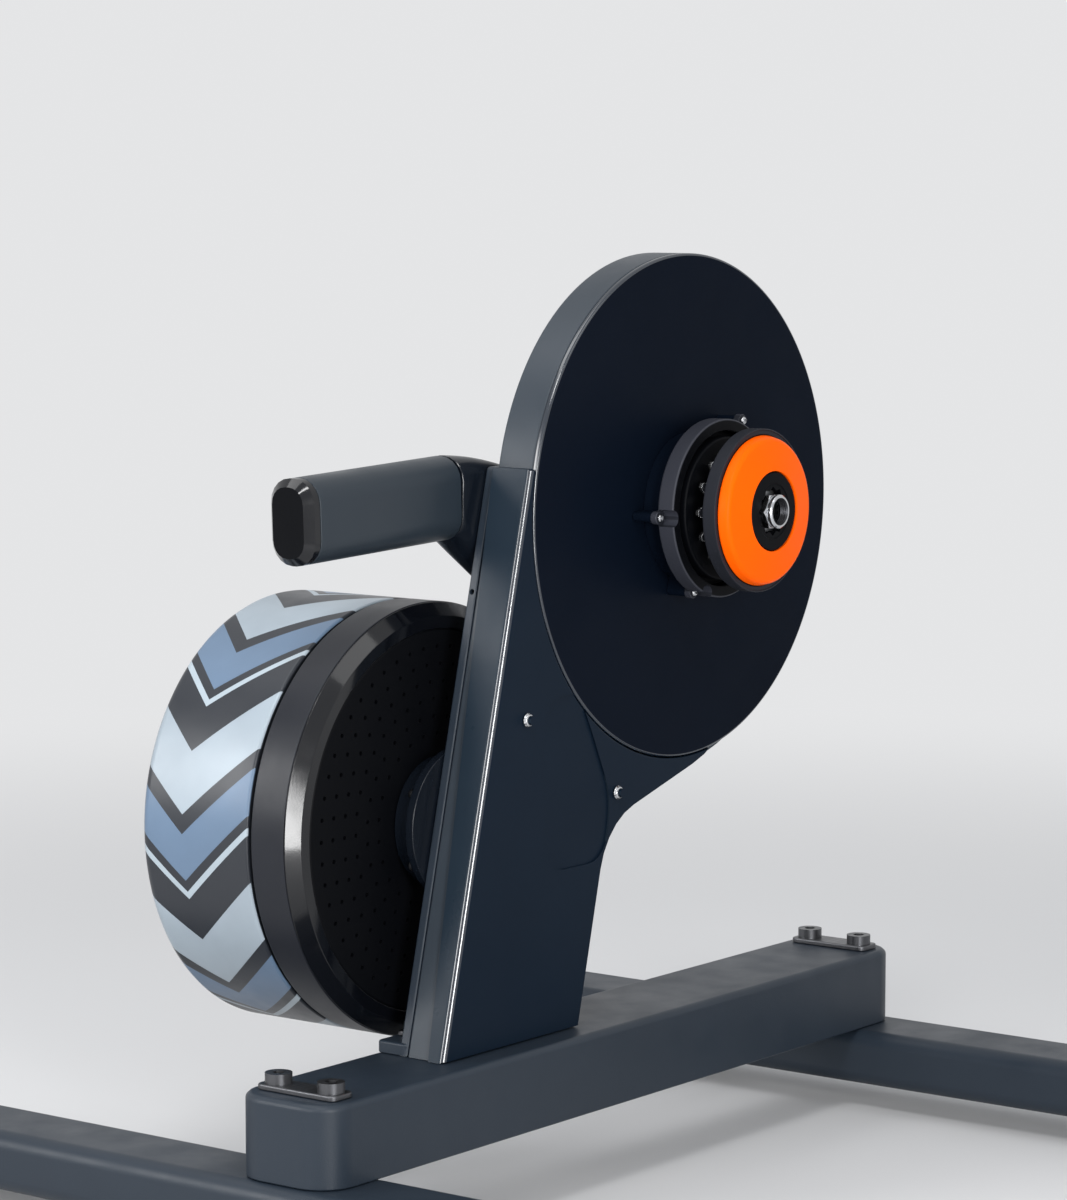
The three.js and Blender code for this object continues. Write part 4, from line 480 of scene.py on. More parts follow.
def grained(name, color, roughness, grain, depth, shine=0.5, spread=0.12):
    """A moulded or painted surface: fine grain, a slow drift of tone, and uneven gloss."""
    drift_scale, gloss_scale, less, more, strength = 14.0, 40.0, 0.05, 0.07, 0.35
    material, tree, main = shader(name, color, roughness, shine=shine)
    drift = noise(tree, drift_scale, 3.0)
    tone = blend_colors(tree, drift, shade(color, 1 - spread), shade(color, 1 + spread))
    tree.links.new(tone, main.inputs["Base Color"])
    uneven_gloss(tree, main, noise(tree, gloss_scale, 5.0), roughness - less, roughness + more)
    bump(tree, main, noise(tree, grain, 2.0), strength, depth)
    return material


def machined(name, color, roughness, pitch):
    """Turned metal, with fine lines that run round the Y axis."""
    line_scale, stretch, less, more, darkest = 6.0, 2.0, 0.08, 0.12, 0.82
    strength, depth = 0.15, 0.0002
    material, tree, main = shader(name, color, roughness, metallic=1.0)
    mapping = node(tree, "ShaderNodeMapping")
    mapping.inputs["Scale"].default_value = (stretch, pitch, stretch)
    tree.links.new(coordinates(tree), mapping.inputs["Vector"])
    lines = noise(tree, line_scale, 6.0, mapping.outputs["Vector"])
    uneven_gloss(tree, main, lines, roughness - less, roughness + more)
    tone = blend_colors(tree, noise(tree, 30.0), shade(color, darkest), color)
    tree.links.new(tone, main.inputs["Base Color"])
    bump(tree, main, lines, strength, depth)
    return material


CASE_BLUE = (0.0042, 0.0092, 0.0175)
NEAR_BLACK = (0.0014, 0.0017, 0.0026)
DRUM_GREY = (0.018, 0.021, 0.027)

# Colour, roughness, grains in a metre, their depth, and the strength of the shine
disc_material = grained("disc_plastic", (0.0024, 0.0045, 0.0095), 0.42, 2600.0, 0.00008, 0.025)
case_material = grained("case_plastic", CASE_BLUE, 0.36, 2200.0, 0.00008, 0.06)
edge_material = grained("case_edge", CASE_BLUE, 0.16, 2200.0, 0.00003, 1.0)
# A lighter copy of the case plastic for the faces that look back: painted light from the lamps behind
lit_rear_material = grained("case_rear_painted_light", (0.012, 0.020, 0.030), 0.30, 2200.0, 0.00008, 0.12)
# A lighter copy of the case plastic for the tray: painted light on its rim band, which faces the lamps
# behind and above
lit_tray_material = grained("tray_plastic_painted_light", (0.026, 0.034, 0.044), 0.38, 2200.0, 0.00008, 0.25)
frame_material = grained("frame_paint", (0.014, 0.021, 0.031), 0.42, 1500.0, 0.00015, 0.30)
cast_material = grained("cast_paint", (0.0040, 0.0060, 0.0098), 0.22, 700.0, 0.0001, 0.35)
guard_material = grained("guard_plastic", (0.0150, 0.0165, 0.0215), 0.48, 1800.0, 0.00012, 0.12)
# A lighter copy of the guard plastic: painted light on the ring's outer band
lit_band_material = grained("guard_band_painted_light", (0.027, 0.029, 0.038), 0.44, 1800.0, 0.00012, 0.22)
# Near black plastic of real black parts, also used as painted shade inside the guard ring
dark_material = grained("dark_plastic", NEAR_BLACK, 0.50, 1800.0, 0.00012, 0.06)
grip_material = grained("grip_sleeve", (0.015, 0.022, 0.030), 0.36, 1400.0, 0.00012, 0.35)
ring_material = grained("cover_ring", (0.010, 0.0115, 0.016), 0.34, 2000.0, 0.0001, 0.22)
mesh_material = grained("perforated_black", NEAR_BLACK, 0.55, 900.0, 0.0001, 0.08)
gloss_material = grained("gloss_black", (0.0025, 0.003, 0.0045), 0.10, 900.0, 0.00002, 0.45)
grip_cap_material = grained("gloss_cap", NEAR_BLACK, 0.12, 900.0, 0.00002, 0.12)
orange_material = grained("orange_cap", (0.93, 0.104, 0.0006), 0.40, 1600.0, 0.00006, 0.04, 0.03)
rubber_material = grained("rubber", (0.014, 0.014, 0.015), 0.78, 900.0, 0.0004)
board_material = grained("circuit_board", (0.01, 0.07, 0.03), 0.4, 500.0, 0.0003)

# Colour, roughness, and how close the lines lie
steel_material = machined("bright_steel", (0.62, 0.63, 0.65), 0.2, 160.0)
dark_steel_material = machined("dark_steel", (0.11, 0.112, 0.12), 0.36, 120.0)
aluminium_material = machined("aluminium", (0.56, 0.57, 0.59), 0.3, 200.0)
tooth_material = machined("polished_teeth", (0.82, 0.83, 0.85), 0.22, 90.0)
# Dark steel for the inside of a bore: painted shade in the hole
shaded_bore_material = machined("bore_painted_shade", (0.035, 0.036, 0.040), 0.30, 200.0)
copper_material = machined("copper_winding", (0.55, 0.22, 0.09), 0.4, 900.0)

# Outlines shared by the housing, its covers and the frame plate

SPINE_NORMAL = 166.1
UNDER_NORMAL = 286.0
SPINE_DISTANCE = DISC_RADIUS + 0.002
UNDER_DISTANCE = DISC_RADIUS + 0.0024
NECK_WIDTH = 0.103
NECK_FILLET = 0.040
SPINE_TOP = 0.0264
TOP_CORNER = 0.0026
TANGENT = 296
SHOULDER_FILLET = 0.09


def wall_line(degrees, distance):
    """A wall as the direction of its normal and its distance from the axle."""
    return (*polar(1, degrees), distance)


def meet(a, b):
    cross = a[0] * b[1] - a[1] * b[0]
    return ((a[2] * b[1] - b[2] * a[1]) / cross, (a[0] * b[2] - b[0] * a[2]) / cross)


def neck_corners(rear=0.0, shrink=0.0):
    """The neck's corners about the axle, its rear wall moved out by rear and all walls in by shrink."""
    spine = wall_line(SPINE_NORMAL, SPINE_DISTANCE + rear - shrink)
    under = wall_line(UNDER_NORMAL, UNDER_DISTANCE - shrink)
    front = wall_line(SPINE_NORMAL + 180, NECK_WIDTH - SPINE_DISTANCE - shrink)
    floor = wall_line(270, AXLE.z - NECK_FLOOR - shrink)
    top = wall_line(90, SPINE_TOP - shrink)
    return {
        "top": meet(spine, top),
        "heel": meet(spine, floor),
        "toe": meet(front, floor),
        "elbow": meet(front, under),
        "shoulder": meet(wall_line(TANGENT, DISC_RADIUS - shrink), under),
    }


def case_outline(radius, shrink=0.0, sides=96):
    """The round case and the neck below it, as one outline about the axle, moved in by shrink."""
    corners = neck_corners(0, shrink)
    radius -= shrink
    shoulder = meet(wall_line(TANGENT, radius), wall_line(UNDER_NORMAL, UNDER_DISTANCE - shrink))
    smallest = 0.0002
    neck = [
        (*corners["top"], max(TOP_CORNER - shrink, smallest)), (*corners["heel"], 0),
        (*corners["toe"], 0), (*corners["elbow"], NECK_FILLET + shrink),
        (*shoulder, SHOULDER_FILLET - shrink),
    ]
    last = 180 - math.degrees(math.asin((SPINE_TOP - shrink) / radius))
    points = arc((0, 0), radius, TANGENT - 360, last, sides)
    shape = fillet([points[-1], *neck, points[0]], closed=False)
    return anticlockwise(points[:-1] + shape[:-1])


# Disc cover: a flat face with a rolled edge


def disc_cover():
    hole, edge_round, edge_band = 0.0245, 0.0013, 0.0011
    profile = [(hole, FACE_Y, SOFT), (DISC_RADIUS, FACE_Y, edge_round)]
    profile += [(DISC_RADIUS, FACE_BACK_Y, CRISP), (hole, FACE_BACK_Y, CRISP)]
    cover = turned_ring("disc_face", profile, AT_AXLE, 256)
    dress(cover, "frame", "disc_plastic", disc_material, "disc_cover")

    def on_edge(spot, normal):
        return outwards(spot, AT_AXLE)[0] > DISC_RADIUS - edge_band

    recolour(cover, (edge_material, on_edge))


disc_cover()

# Housing tray behind both covers

SIDE_SCREWS = ("side_screw_upper", "side_screw_lower")
SCREW_HOLE = 0.0023


def housing_tray():
    wall, boss_radius, rim_round, back_round = 0.0025, 0.0036, 0.0009, 0.0014
    levels = edge_levels(RIM_Y, HOUSING_BACK_Y, rim_round, back_round)
    sections = [(height, from_axle(case_outline(DISC_RADIUS, shrink))) for height, shrink in levels]
    tray = loft("housing_tray", sections)
    inner = from_axle(case_outline(DISC_RADIUS, wall))
    cut(tray, slab("cavity", inner, RIM_Y - OVERRUN, HOUSING_BACK_Y - wall))
    drill(tray, [(AT_AXLE, AXLE_BORE), (AT_SHAFT, SHAFT_HOLE)], RIM_Y, HOUSING_BACK_Y + OVERRUN)
    end = HOUSING_BACK_Y - OVERRUN / 2
    boss = [(SCREW_HOLE, RIM_Y), (boss_radius, RIM_Y), (boss_radius, end), (SCREW_HOLE, end)]
    for which in SIDE_SCREWS:
        weld(tray, lathe("boss", boss, axis_of(which), 24))
    # The whole tray takes the lighter copy of the case plastic, painted light on its band
    dress(tray, "frame", "case_plastic", lit_tray_material, "belt_housing")


housing_tray()

# Side cover: the shell below the disc, bent back over the rear wall

COVER_REAR = 0.0023
FLANGE_WALL = 0.002
FLANGE_TOP_DEPTH = 0.024
FLANGE_FOOT_DEPTH = 0.0095
BEND_RADIUS = 0.0034
FACE_EDGE = 0.0007

# The raised panel, about the axle: across, up, and the round of the corner
PANEL = (
    (-0.1185, -0.0868, 0.016),
    (-0.0915, -0.0872, 0.010),
    (-0.0790, -0.1120, 0.040),
    (-0.0650, -0.1420, 0.040),
    (-0.0700, -0.1740, 0.016),
    (-0.1180, -0.1740, 0.014),
    (-0.1225, -0.1150, 0.030),
)


def neck_outline(rear, shrink):
    """The neck alone, run on into the disc so that a round cut can trim it."""
    corners = neck_corners(rear, shrink)
    reach = DISC_RADIUS * 0.8
    points = [
        (*corners["top"], 0), (*corners["heel"], 0), (*corners["toe"], 0),
        (*corners["elbow"], NECK_FILLET + shrink), (*corners["shoulder"], SHOULDER_FILLET - shrink),
        (*polar(reach, 310), 0), (-reach / 2, corners["top"][1], 0),
    ]
    return from_axle(fillet(points))


def raised_panel():
    """A low swelling whose sides fall in a soft wave."""
    rise, slope, rings, root, root_spread = 0.0014, 0.0075, 8, 0.001, 0.0002
    levels = []
    for i in range(rings + 1):
        height = FACE_Y - rise * (1 + math.cos(math.pi * i / rings)) / 2
        levels.append((height, slope * (1 - i / rings)))
    levels.append((FACE_Y + root, -root_spread))
    return layers("blister", from_axle(fillet(PANEL)), levels)


def round_trimmer():
    """What the disc takes out of the shell, with a small rolled lip."""
    radius, lip, lip_steps, past = DISC_RADIUS + 0.0006, 0.0011, 6, 0.0001
    profile = [(0, FACE_Y - OVERRUN), (radius + lip, FACE_Y - OVERRUN)]
    for i in range(lip_steps + 1):
        away, along = polar(lip, 90 * i / lip_steps)
        profile.append((radius + lip - along, FACE_Y + lip - away))
    profile += [(radius, FACE_BACK_Y + past), (0, FACE_BACK_Y + past)]
    return spindle("round_cut", profile, AT_AXLE, 256)


def side_cover():
    back = FACE_Y + FLANGE_TOP_DEPTH
    sections = []
    for height, drop in edge_levels(FACE_Y, back, BEND_RADIUS, EASED):
        shrink = min(drop, FACE_EDGE)
        sections.append((height, neck_outline(COVER_REAR - drop + shrink, shrink)))
    shell = loft("side_shell", sections)
    corners = neck_corners(COVER_REAR - FLANGE_WALL)
    top, heel = Vector(corners["top"]), Vector(corners["heel"])
    wide, past = 0.4, (heel - top) * 0.2
    near, far = top - past, heel + past
    hollow = [tuple(near), tuple(far), (far.x + wide, far.y), (near.x + wide, near.y)]
    cut(shell, slab("cavity", from_axle(hollow), FACE_BACK_Y, back + OVERRUN))
    start_z, end_z = AXLE.z + SPINE_TOP + OVERRUN / 2, NECK_FLOOR - OVERRUN / 2
    behind, side = back + 0.03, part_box("side_cover")[0].x
    taper = [(back, start_z), (FACE_Y + FLANGE_FOOT_DEPTH, end_z), (behind, end_z), (behind, start_z)]
    cut(shell, slab("taper", taper, side - 0.01, side + 0.12, place=along_x))
    cut(shell, round_trimmer())
    weld(shell, raised_panel())
    holes = [(axis_of(which), SCREW_HOLE) for which in SIDE_SCREWS]
    drill(shell, holes, FACE_Y - 2 * OVERRUN, FACE_BACK_Y + OVERRUN, 24)
    dress(shell, "frame", "case_plastic", case_material, "side_cover")
    # The rear wall gets the lighter copy, painted light where the lamps behind fall; the bend gets the
    # glossier edge plastic
    recolour(
        shell,
        (lit_rear_material, lambda spot, normal: normal.x < -0.9 and normal.y > -0.3),
        (edge_material, lambda spot, normal: normal.x < -0.2 and normal.y < -0.2),
    )


side_cover()

HEX_CORNER = 1.1547  # a hexagon's corner radius, of half its width


def domed_screw(replaced, socket):
    """A button head screw over a CAD screw whose head faces -Y."""
    low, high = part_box(replaced)
    radius, start = (high.x - low.x) / 2, (low.y - high.y) / 2
    head, shank, crown, shoulder, ease = (radius * share for share in (0.58, 0.53, 0.45, 0.8, 0.12))
    profile = [
        (0, start, 0), (crown, start, ease), (shoulder, start + head / 4, ease),
        (radius, start + head * 3 / 4, ease), (radius, start + head, ease),
        (shank, start + head, ease), (shank, -start, 0), (0, -start, 0),
    ]
    screw = spindle(replaced + "_fine", fillet(profile, closed=False), steps=40)
    cut(screw, slab("socket", hexagon(socket * HEX_CORNER), start - OVERRUN, start + head * 0.6))
    move(screw, Matrix.Translation((low + high) / 2))
    dress(screw, "frame", "bright_steel", steel_material, replaced)


for which in SIDE_SCREWS:
    domed_screw(which, 0.0015)

# Frame plate with its foot, and a hole in its rear edge


def frame_plate():
    inner_share, side_round, back_round, foot_thickness, foot_corner = 0.93, 0.0007, 0.0011, 0.006, 0.003
    outline = from_axle(case_outline(DISC_RADIUS * inner_share))
    plate = slab("backbone", outline, PLATE_Y, PLATE_BACK_Y, side_round, back_round)
    foot_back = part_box("frame_plate")[1].y
    corners = neck_corners()
    heel, toe = AXLE.x + corners["heel"][0], AXLE.x + corners["toe"][0]
    foot_middle = ((heel + toe) / 2, (PLATE_Y + foot_back) / 2)
    foot = rounded_rectangle(foot_middle, toe - heel, foot_back - PLATE_Y, foot_corner)
    weld(plate, slab("foot", foot, NECK_FLOOR, NECK_FLOOR + foot_thickness, 0.0005, FULL, along_z))
    holes = [(AT_AXLE, AXLE_BORE), (AT_SHAFT, SHAFT_HOLE)]
    holes += [(axis_of("power_socket"), 0.0058), (axis_of("pivot_pin"), 0.0043)]
    drill(plate, holes, PLATE_Y - OVERRUN, PLATE_BACK_Y + OVERRUN)
    hole_drop, hole_radius, hole_depth = 0.034, 0.0014, 0.006
    normal_x, normal_z = polar(1, SPINE_NORMAL)
    x = AXLE.x + (SPINE_DISTANCE + hole_drop * normal_z) / normal_x
    edge_hole = rod("edge_hole", hole_radius, -hole_depth, hole_depth, steps=24)
    move(edge_hole, Matrix.Rotation(math.pi / 2, 4, "Z"))
    move(edge_hole, Matrix.Translation((x, (PLATE_Y + PLATE_BACK_Y) / 2, AXLE.z - hole_drop)))
    cut(plate, edge_hole)
    dress(plate, "frame", "frame_paint", frame_material, "frame_plate")


frame_plate()

# Hub: a fixed guard ring on three lugs, and what turns with the sprocket

LUGS = ((57, 0.0512), (183, 0.0452), (250, 0.0448))  # angle, and reach of the screw
SPLINE_BORE = 0.0176
SPACER = 0.0205
CAP_HOLE = 0.0203


def arm(name, inner, reach, radius, angle, *ends):
    """A flat arm with a round end, at an angle about the axle."""
    outline = [(inner, -radius), *arc((reach, 0), radius, -90, 90, 16), (inner, radius)]
    return slab(name, from_axle(rotated(outline, angle)), *ends)


def guard_ring():
    low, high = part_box("guard_ring")
    front, back = low.y, high.y
    radius, wall, plate, boss, boss_bore = 0.0455, 0.006, 0.0024, 0.038, 0.035
    ring_back = front + 0.0098
    inner, plate_front = radius - wall, ring_back - plate
    profile = [
        (boss_bore, ring_back, CRISP), (radius, ring_back, 0.0014), (radius, front, 0.0009),
        (inner, front, 0.0007), (inner, plate_front, ROUNDED), (boss_bore, plate_front, SOFT),
    ]
    guard = turned_ring("guard_band", profile, AT_AXLE, 128)
    seat, ear_back = ring_back - 0.0015, ring_back + 0.0022
    ear_radius, notch_radius, post_radius, bore = 0.0033, 0.0043, 0.0025, 0.0016
    places = [places_round(AT_AXLE, reach, 1, angle)[0] for angle, reach in LUGS]
    for place in places:
        cut(guard, rod("notch", notch_radius, front - OVERRUN, seat + EASED, place, 32))
    for angle, reach in LUGS:
        ear = arm("ear", radius - wall / 2, reach, ear_radius, angle, seat, ear_back, 0.0005, EASED)
        weld(guard, ear)
    for place in places:
        cut(guard, rod("bore", bore, seat - OVERRUN / 2, ear_back + OVERRUN, place, 24))
    dress(guard, "frame", "black_plastic", guard_material, "guard_ring")

    # The faces that look outwards get the lighter copy, painted light; the front face and the inside of the
    # ring get near black, painted shade
    def on_band(spot, normal):
        reach, away = outwards(spot, AT_AXLE)
        return reach > radius - 0.0045 and normal.dot(away) > 0.35

    def in_ring(spot, normal):
        reach = outwards(spot, AT_AXLE)[0]
        return (reach < radius - 0.0008 and spot.y < front + 0.0009) or reach < inner + 0.0004

    recolour(guard, (lit_band_material, on_band), (dark_material, in_ring))
    seam = 0.0001
    start = ring_back + seam
    profile = [(boss_bore, start), (boss, start), (boss, back), (boss_bore, back)]
    posts = turned_ring("guard_posts", [(*point, CRISP) for point in profile], AT_AXLE, 128)
    post_ends = (ear_back + seam, back - seam, 0.0002, 0.0002)
    for angle, reach in LUGS:
        weld(posts, arm("post", boss - 0.001, reach, post_radius, angle, *post_ends))
    for place in places:
        cut(posts, rod("bore", bore, ear_back - OVERRUN, back + OVERRUN, place, 24))
    dress(posts, "frame", "black_plastic", disc_material)
    for which in (1, 2, 3):
        domed_screw(f"guard_screw_{which}", 0.0009)


guard_ring()


def inner_chain_guard():
    low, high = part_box("inner_chain_guard")
    radius, wall, depth = 0.0365, 0.002, 0.006
    face = high.y - depth
    profile = [
        (SPLINE_BORE, low.y, CRISP), (SPACER, low.y, SOFT), (SPACER, face, FULL),
        (radius, face, FULL), (radius, high.y, EASED), (radius - wall, high.y, EASED),
        (radius - wall, face + wall, SOFT), (SPACER, face + wall, SOFT), (SPACER, high.y, EASED),
        (SPLINE_BORE, high.y, CRISP),
    ]
    cup = turned_ring("inner_guard_cup", profile, AT_AXLE, 128)
    dress(cup, "freehub", "black_plastic", dark_material, "inner_chain_guard")


def outer_chain_guard():
    low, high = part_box("outer_chain_guard")
    radius, wall, depth, seat_width, seat_depth = 0.0414, 0.003, 0.008, 0.0022, 0.0006
    back = FACE_Y - 0.0383
    front, inner = back - depth, radius - wall
    profile = [
        (SPLINE_BORE, high.y, CRISP), (SPACER, high.y, SOFT), (SPACER, back, FULL),
        (radius, back, FULL), (radius, front, 0.0009), (inner + seat_width, front, CRISP),
        (inner + seat_width, front + seat_depth, 0.0002), (inner, front + seat_depth, CRISP),
        (inner, back - wall, SOFT), (SPACER, back - wall, SOFT), (SPACER, low.y, CRISP),
        (SPLINE_BORE, low.y, CRISP),
    ]
    dish = turned_ring("outer_guard_dish", profile, AT_AXLE, 128)
    dress(dish, "freehub", "black_plastic", guard_material, "outer_chain_guard")


inner_chain_guard()
outer_chain_guard()


def sprocket():
    teeth, pitch, roller, addendum, tip_half_width = 14, 0.0127, 0.00397, 0.0026, 0.0012
    pitch_radius = pitch / 2 / math.sin(math.pi / teeth)
    tip = pitch_radius + addendum
    half_tip = math.degrees(tip_half_width / tip)
    outline = []
    for i in range(teeth):
        angle = 360 * i / teeth
        outline += [polar(tip, angle - half_tip), polar(tip, angle + half_tip)]
        seat = angle + 180 / teeth
        outline += arc(polar(pitch_radius, seat), roller, seat - 90, seat - 270, 8)
    low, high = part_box("sprocket")
    wheel = slab("toothed_wheel", from_axle(outline), low.y, high.y, 0.0002, 0.0002)
    drill(wheel, [(AT_AXLE, SPLINE_BORE)], low.y - OVERRUN, high.y + OVERRUN)
    dress(wheel, "freehub", "bright_steel", tooth_material, "sprocket")


sprocket()


def hub_cap():
    low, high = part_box("hub_cap")
    radius, wall, rim_wall, dome = radius_of("hub_cap"), 0.0022, 0.003, 0.0034
    sleeve_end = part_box("freehub_body")[0].y
    profile = [
        (CAP_HOLE, low.y, 0.0005), (radius - 0.0013, low.y + 0.0030, dome),
        (radius, high.y - SOFT, EASED), (radius, high.y, 0.0002),
        (radius - rim_wall, high.y, EASED), (radius - 0.0045, low.y + 0.0052, 0.001),
        (CAP_HOLE + wall, low.y + wall, 0.0005), (CAP_HOLE + wall, sleeve_end, CRISP),
        (CAP_HOLE, sleeve_end, CRISP),
    ]
    cap = turned_ring("orange_dish", profile, AT_AXLE, 160)
    dress(cap, "freehub", "orange_plastic", orange_material, "hub_cap")


hub_cap()


def lock_ring():
    """A black disc flush with the cap, with a star of splines in its middle."""
    low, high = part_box("lock_ring")
    radius, step, proud = CAP_HOLE - SEAM, 0.0138, 0.0008
    front = low.y - proud
    profile = [(0, front + EASED), (step, front + EASED), (step + EASED, front)]
    profile += [(radius - SOFT, front), (radius, front + SOFT), (radius, high.y), (0, high.y)]
    disc = spindle("serrated_ring", profile, AT_AXLE, 128)
    teeth, root, depth = 12, 0.0106, 0.002
    star = []
    for i in range(teeth):
        star.append((*polar(root + depth, 360 * i / teeth), SOFT))
        star.append((*polar(root, 360 * (i + 0.5) / teeth), EASED))
    cut(disc, slab("star", from_axle(fillet(star)), front - OVERRUN, high.y + OVERRUN))
    dress(disc, "freehub", "black_plastic", dark_material, "lock_ring")


lock_ring()


def end_cap(replaced, flanged):
    """A bored steel cap from its dropout face inwards: a ring, then a hexagon with chamfered corners."""
    low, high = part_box(replaced)
    length = high.y - low.y
    ring, ring_length, neck, neck_length, ease = 0.0085, 0.0024, 0.0080, 0.0007, 0.0006
    bore, seat, wall = 0.0061, 0.0077, 0.0045
    corner, chamfer = 0.0096, 0.0009
    hex_start = ring_length + neck_length
    body = slab(replaced + "_threaded", hexagon(corner), hex_start, length)
    wide = corner + chamfer / 2
    rounded = [(0, hex_start - OVERRUN), (corner - chamfer, hex_start), (wide, hex_start + chamfer)]
    rounded += [(wide, length + OVERRUN), (0, length + OVERRUN)]
    combine(body, spindle("corners", rounded), "INTERSECT")
    nose = [(0, 0), (ring - ease, 0), (ring, ease), (ring, ring_length - 0.0005)]
    nose += [(ring - 0.0005, ring_length), (neck, ring_length), (neck, length - 0.001), (0, length - 0.001)]
    weld(body, spindle("nose", nose, steps=64))
    if flanged:
        flange, thickness, round_edge = 0.014, 0.003, 0.0005
        start = length - thickness
        profile = [(0, start), (flange - round_edge, start), (flange, start + round_edge)]
        profile += [(flange, length), (0, length)]
        weld(body, spindle("flange", profile, steps=64))
    pitch, depth, first = 0.001, 0.0004, 0.0012
    thread = [(0, -OVERRUN), (bore + chamfer, -OVERRUN), (bore + chamfer, 0), (bore, chamfer)]
    for i in range(3):
        start = first + i * pitch
        thread += [(bore, start), (bore + depth, start + pitch * 0.4), (bore, start + pitch * 0.8)]
    thread += [(bore, wall), (seat, wall), (seat, length + OVERRUN), (0, length + OVERRUN)]
    cut(body, spindle("thread", thread))
    face = low.y
    if flanged:
        move(body, Matrix.Rotation(math.pi, 4, "Z"))
        face = high.y
    move(body, Matrix.Translation((AXLE.x, face, AXLE.z)))
    dress(body, "frame", "bright_steel", steel_material, replaced)

    # The faces inside the bore get dark steel, painted shade in the hole
    def in_bore(spot, normal):
        reach, away = outwards(spot, AT_AXLE)
        return reach < seat + 0.0001 and normal.dot(away) < -0.3

    recolour(body, (shaded_bore_material, in_bore))


end_cap("end_cap_right", False)
end_cap("end_cap_left", True)


def bolt_head(radius, height, place):
    """A socket head on a face that looks along +Y, its seat at the place."""
    profile = [(0, 0), (radius, 0), (radius, height * 0.75), (radius * 0.9, height), (0, height)]
    head = spindle("head", profile, steps=32)
    cut(head, slab("socket", hexagon(radius / 2), height * 0.45, height + OVERRUN))
    return move(head, Matrix.Translation(place))


def flange_bolts(name, seat, places, radius, height):
    heads = [bolt_head(radius, height, (x, seat, z)) for x, _, z in places]
    dress(gather(name, heads), "frame", "dark_steel", dark_steel_material)


def axle_support():
    low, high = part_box("axle_support")
    radius, thickness, root, nose, bolts = radius_of("axle_support"), 0.005, 0.024, 0.016, 0.0295
    seat = low.y + thickness
    profile = [
        (AXLE_BORE, low.y, CRISP), (radius, low.y, EASED), (radius, seat, FULL),
        (root, seat, 0.003), (nose, high.y, ROUNDED), (AXLE_BORE, high.y, EASED),
    ]
    support = turned_ring("support_cone", profile, AT_AXLE, 96)
    dress(support, "frame", "aluminium", aluminium_material, "axle_support")
    flange_bolts("support_bolts", seat, places_round(AT_AXLE, bolts, 4, 45), 0.0032, 0.0026)


axle_support()


def bearing_carrier():
    low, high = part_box("bearing_carrier")
    flange, thickness, shoulder, nose, bore, bolts = 0.038, 0.005, 0.032, 0.024, 0.0163, 0.0352
    seat, step = low.y + thickness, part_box("brake_cover")[0].y - SEAM
    profile = [
        (bore, low.y, CRISP), (flange, low.y, EASED), (flange, seat, 0.001),
        (shoulder, seat, 0.0015), (shoulder, step, 0.0005), (nose, step, 0.0005),
        (nose, high.y, ROUNDED), (bore, high.y, EASED),
    ]
    carrier = turned_ring("carrier_hub", profile, AT_SHAFT, 96)
    dress(carrier, "frame", "frame_paint", cast_material, "bearing_carrier")
    flange_bolts("carrier_bolts", seat, places_round(AT_SHAFT, bolts, 6, 30), 0.0024, 0.002)


bearing_carrier()

# Flywheel: a painted drum with a machined far side, and its brake cover

# Start and end in a repeat, and colour
STRIPES = (
    (0.08, 0.40, (0.29, 0.34, 0.385)),
    (0.50, 0.74, (0.105, 0.16, 0.24)),
    (0.80, 0.84, (0.34, 0.40, 0.445)),
)


def stripe_material():
    """Pale chevron stripes round the drum, over grey paint."""
    repeats, slant, ridge_share, rim_depth, wear_color = 7, 9.0, 0.64, 0.0012, (0.02, 0.021, 0.024)
    material, tree, main = shader("drum_paint", DRUM_GREY, 0.34, shine=0.35)
    place = node(tree, "ShaderNodeSeparateXYZ")
    offset = node(tree, "ShaderNodeVectorMath", operation="SUBTRACT")
    offset.inputs[1].default_value = AT_SHAFT
    tree.links.new(coordinates(tree), offset.inputs[0])
    tree.links.new(offset.outputs[0], place.inputs[0])
    x, y, z = place.outputs
    angle = calculate(tree, "ARCTAN2", z, x)
    turns = calculate(tree, "DIVIDE", angle, 2 * math.pi)
    low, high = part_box("flywheel")
    ridge = low.y + (high.y - low.y) * ridge_share
    across = calculate(tree, "ABSOLUTE", calculate(tree, "SUBTRACT", y, ridge))
    shift = calculate(tree, "MULTIPLY", across, slant)
    count = calculate(tree, "MULTIPLY", turns, repeats)
    along = calculate(tree, "FRACT", calculate(tree, "ADD", count, shift))
    color = DRUM_GREY
    for start, end, stripe in STRIPES:
        after = calculate(tree, "GREATER_THAN", along, start)
        inside = calculate(tree, "MULTIPLY", after, calculate(tree, "LESS_THAN", along, end))
        color = blend_colors(tree, inside, color, stripe)
    squares = [calculate(tree, "POWER", side, 2.0) for side in (x, z)]
    reach = calculate(tree, "SQRT", calculate(tree, "ADD", *squares))
    on_rim = calculate(tree, "GREATER_THAN", reach, FLYWHEEL_RADIUS - rim_depth)
    color = blend_colors(tree, on_rim, DRUM_GREY, color)
    wear = ramp(tree, noise(tree, 22.0, 3.0), 0.0, 0.16, *NOISE_RANGE)
    tree.links.new(blend_colors(tree, wear, color, wear_color), main.inputs["Base Color"])
    uneven_gloss(tree, main, noise(tree, 60.0, 4.0), 0.3, 0.4)
    bump(tree, main, noise(tree, 1500.0, 2.0), 0.3, 0.0001)
    return material


drum_material = stripe_material()


